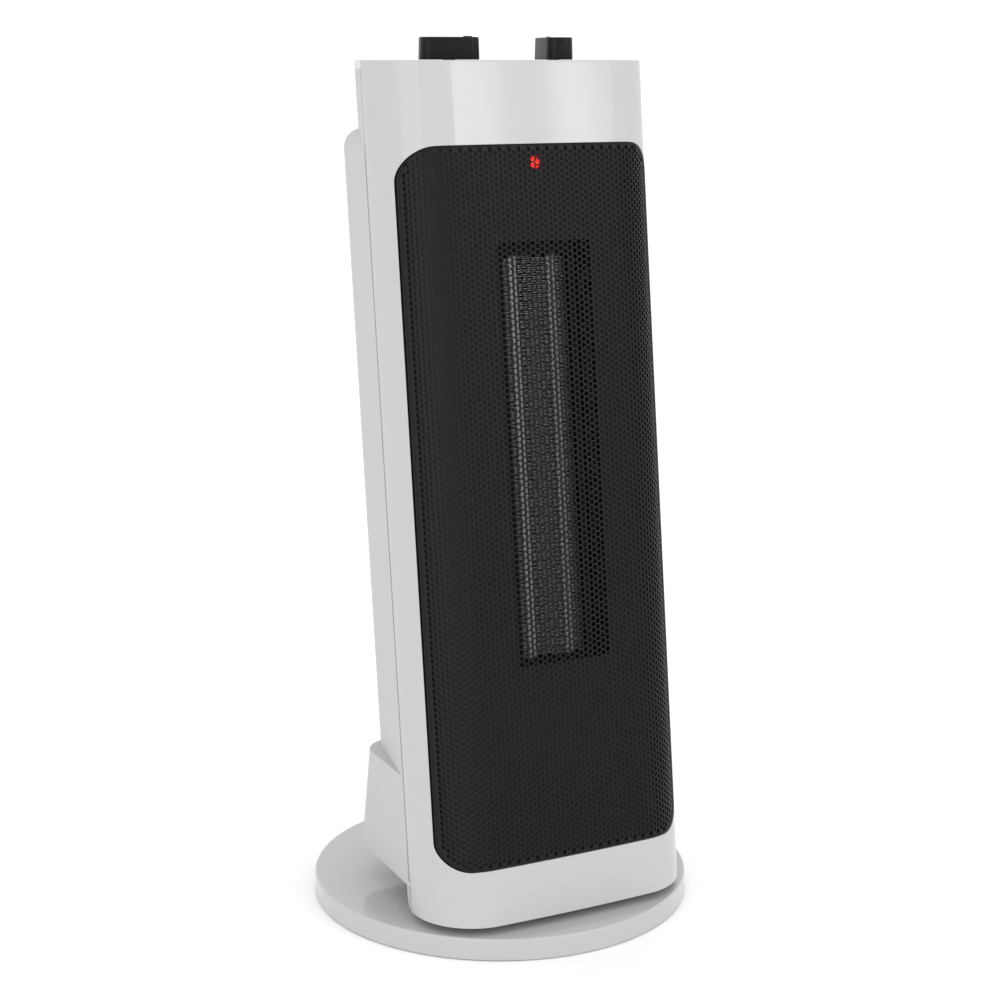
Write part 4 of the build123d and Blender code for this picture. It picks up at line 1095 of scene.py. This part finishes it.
@dataclass
class Studio:
    """Pale floor, soft lights and the camera."""

    camera_place: tuple[float, float, float] = (-0.4795, -0.9045, 0.4304)
    camera_pitch: float = 77.82
    camera_heading: float = -27.93
    lens: float = 73.39
    floor_half: float = 30.0
    bright_side: tuple[float, float, float] = (-0.1, -0.45, 0.89)
    dim: float = 0.85
    bright: float = 1.17
    backdrop: float = 1.1
    boxes: tuple[SoftBox, ...] = (
        SoftBox("strip_wide", (0.70, -1.82, 1.0), (0.0, -0.03, 0.41), (0.30, 0.85), 2.8),
        SoftBox("strip_narrow", (1.05, -1.62, 1.0), (0.0, -0.03, 0.41), (0.16, 0.85), 1.7),
        SoftBox("softbox_left", (-2.3, -1.6, 0.8), (0.0, 0.0, 0.22), (1.8, 1.8), 10.0),
    )

    def camera(self) -> None:
        """Set up the camera."""
        data = bpy.data.cameras.new("camera")
        data.lens = self.lens
        data.sensor_width = 36.0
        data.clip_end = 100.0
        camera = bpy.data.objects.new("camera", data)
        camera.location = self.camera_place
        camera.rotation_euler = (math.radians(self.camera_pitch), 0.0, math.radians(self.camera_heading))
        bpy.context.scene.collection.objects.link(camera)
        bpy.context.scene.camera = camera

    def floor(self) -> None:
        """Lay the pale floor."""
        half = self.floor_half / MM
        corners = np.array([(-half, -half, 0), (half, -half, 0), (half, half, 0), (-half, half, 0)], float)
        floor = make_piece("floor", corners, [(0, 1, 2, 3)])
        floor.data.materials.append(FLOOR_BOARD.material())

    def room(self) -> None:
        """Surround the heater with white walls, brighter above and in front, and an even backdrop."""
        world = bpy.data.worlds.new("studio")
        world.use_nodes = True
        tree = world.node_tree
        tree.nodes.clear()
        way = add_node(tree, "ShaderNodeTexCoord").outputs["Generated"]
        facing = add_node(
            tree, "ShaderNodeVectorMath", {"operation": "DOT_PRODUCT"}, {0: way, 1: self.bright_side}
        )
        strength = add_node(
            tree, "ShaderNodeMapRange", None,
            {
                "Value": facing.outputs["Value"],
                "From Min": -1.0,
                "To Min": self.dim,
                "To Max": self.bright,
            },
        )
        white = linear("FFFFFF")
        walls = add_node(
            tree, "ShaderNodeBackground", None,
            {"Color": white, "Strength": strength.outputs["Result"]},
        )
        backdrop = add_node(
            tree, "ShaderNodeBackground", None, {"Color": white, "Strength": self.backdrop}
        )
        seen = add_node(tree, "ShaderNodeLightPath").outputs["Is Camera Ray"]
        both = add_node(
            tree, "ShaderNodeMixShader", None,
            {0: seen, 1: walls.outputs["Background"], 2: backdrop.outputs["Background"]},
        )
        add_node(tree, "ShaderNodeOutputWorld", None, {"Surface": both.outputs["Shader"]})
        bpy.context.scene.world = world

    def build(self) -> None:
        """Set the colour handling, the camera, the floor, the room and the lights."""
        bpy.context.scene.view_settings.view_transform = "Standard"
        self.camera()
        self.floor()
        self.room()
        for box in self.boxes:
            box.hang()


# ---- the whole heater -----------------------------------------------------------------------
CASE_SCREW_X = 50.0
CASE_SCREW_SEAT = -43.8
CASE_SCREW_ALONG = 404.0
BASE_SCREW_CIRCLE = 92.0
BASE_SCREW_SEAT = 2.0
TRAY_SCREW_X = 56.0
TRAY_SCREW_Y = (-62.0, 10.0)
TRAY_SCREW_SEAT = 28.5
BELOW = (0.0, 0.0, -1.0)


def case_screws() -> CrossScrews:
    """Pair of screws that draw the rear casing to the front frame."""
    tip = math.radians(FORM.lean)
    behind = (0.0, math.cos(tip), -math.sin(tip))
    places = [
        tuple(FORM.to_frame(side * CASE_SCREW_X, CASE_SCREW_SEAT, CASE_SCREW_ALONG).tolist())
        for side in (-1, 1)
    ]
    return CrossScrews("case_screws", "zinc_steel", "tower", 2.9, 2.0, places, behind)


def base_screws() -> CrossScrews:
    """Ring of screws that hold the plate under the base."""
    places = []
    for quarter in range(4):
        angle = math.pi / 4 + quarter * math.pi / 2
        across, behind = BASE_SCREW_CIRCLE * math.cos(angle), BASE_SCREW_CIRCLE * math.sin(angle)
        places.append((across, behind, BASE_SCREW_SEAT))
    return CrossScrews("base_screws", "zinc_steel", "base", 2.8, 1.1, places, BELOW, shank_length=5.0)


def tray_screws() -> CrossScrews:
    """Screws that hold the tower's floor."""
    places = [(side * TRAY_SCREW_X, y, TRAY_SCREW_SEAT) for side in (-1, 1) for y in TRAY_SCREW_Y]
    return CrossScrews("tray_screws", "zinc_steel", "tower", 2.9, 1.6, places, BELOW, shank_length=9.0)


def main() -> None:
    """Build the whole heater and its studio."""
    Studio().build()
    CarriedParts().build()
    PerforatedFront().build()
    HeatingElement().build()
    SignalLamp().build()
    BarKnob("thermostat_bar", "thermostat_control", -29.0, -13.0).build()
    BarKnob("selector_bar", "selector_control", 29.0, 78.0).build()
    case_screws().build()
    base_screws().build()
    tray_screws().build()
    Footing().build()


if __name__ == "__main__":
    logging.basicConfig(level=logging.INFO, format="%(name)s %(message)s")
    main()
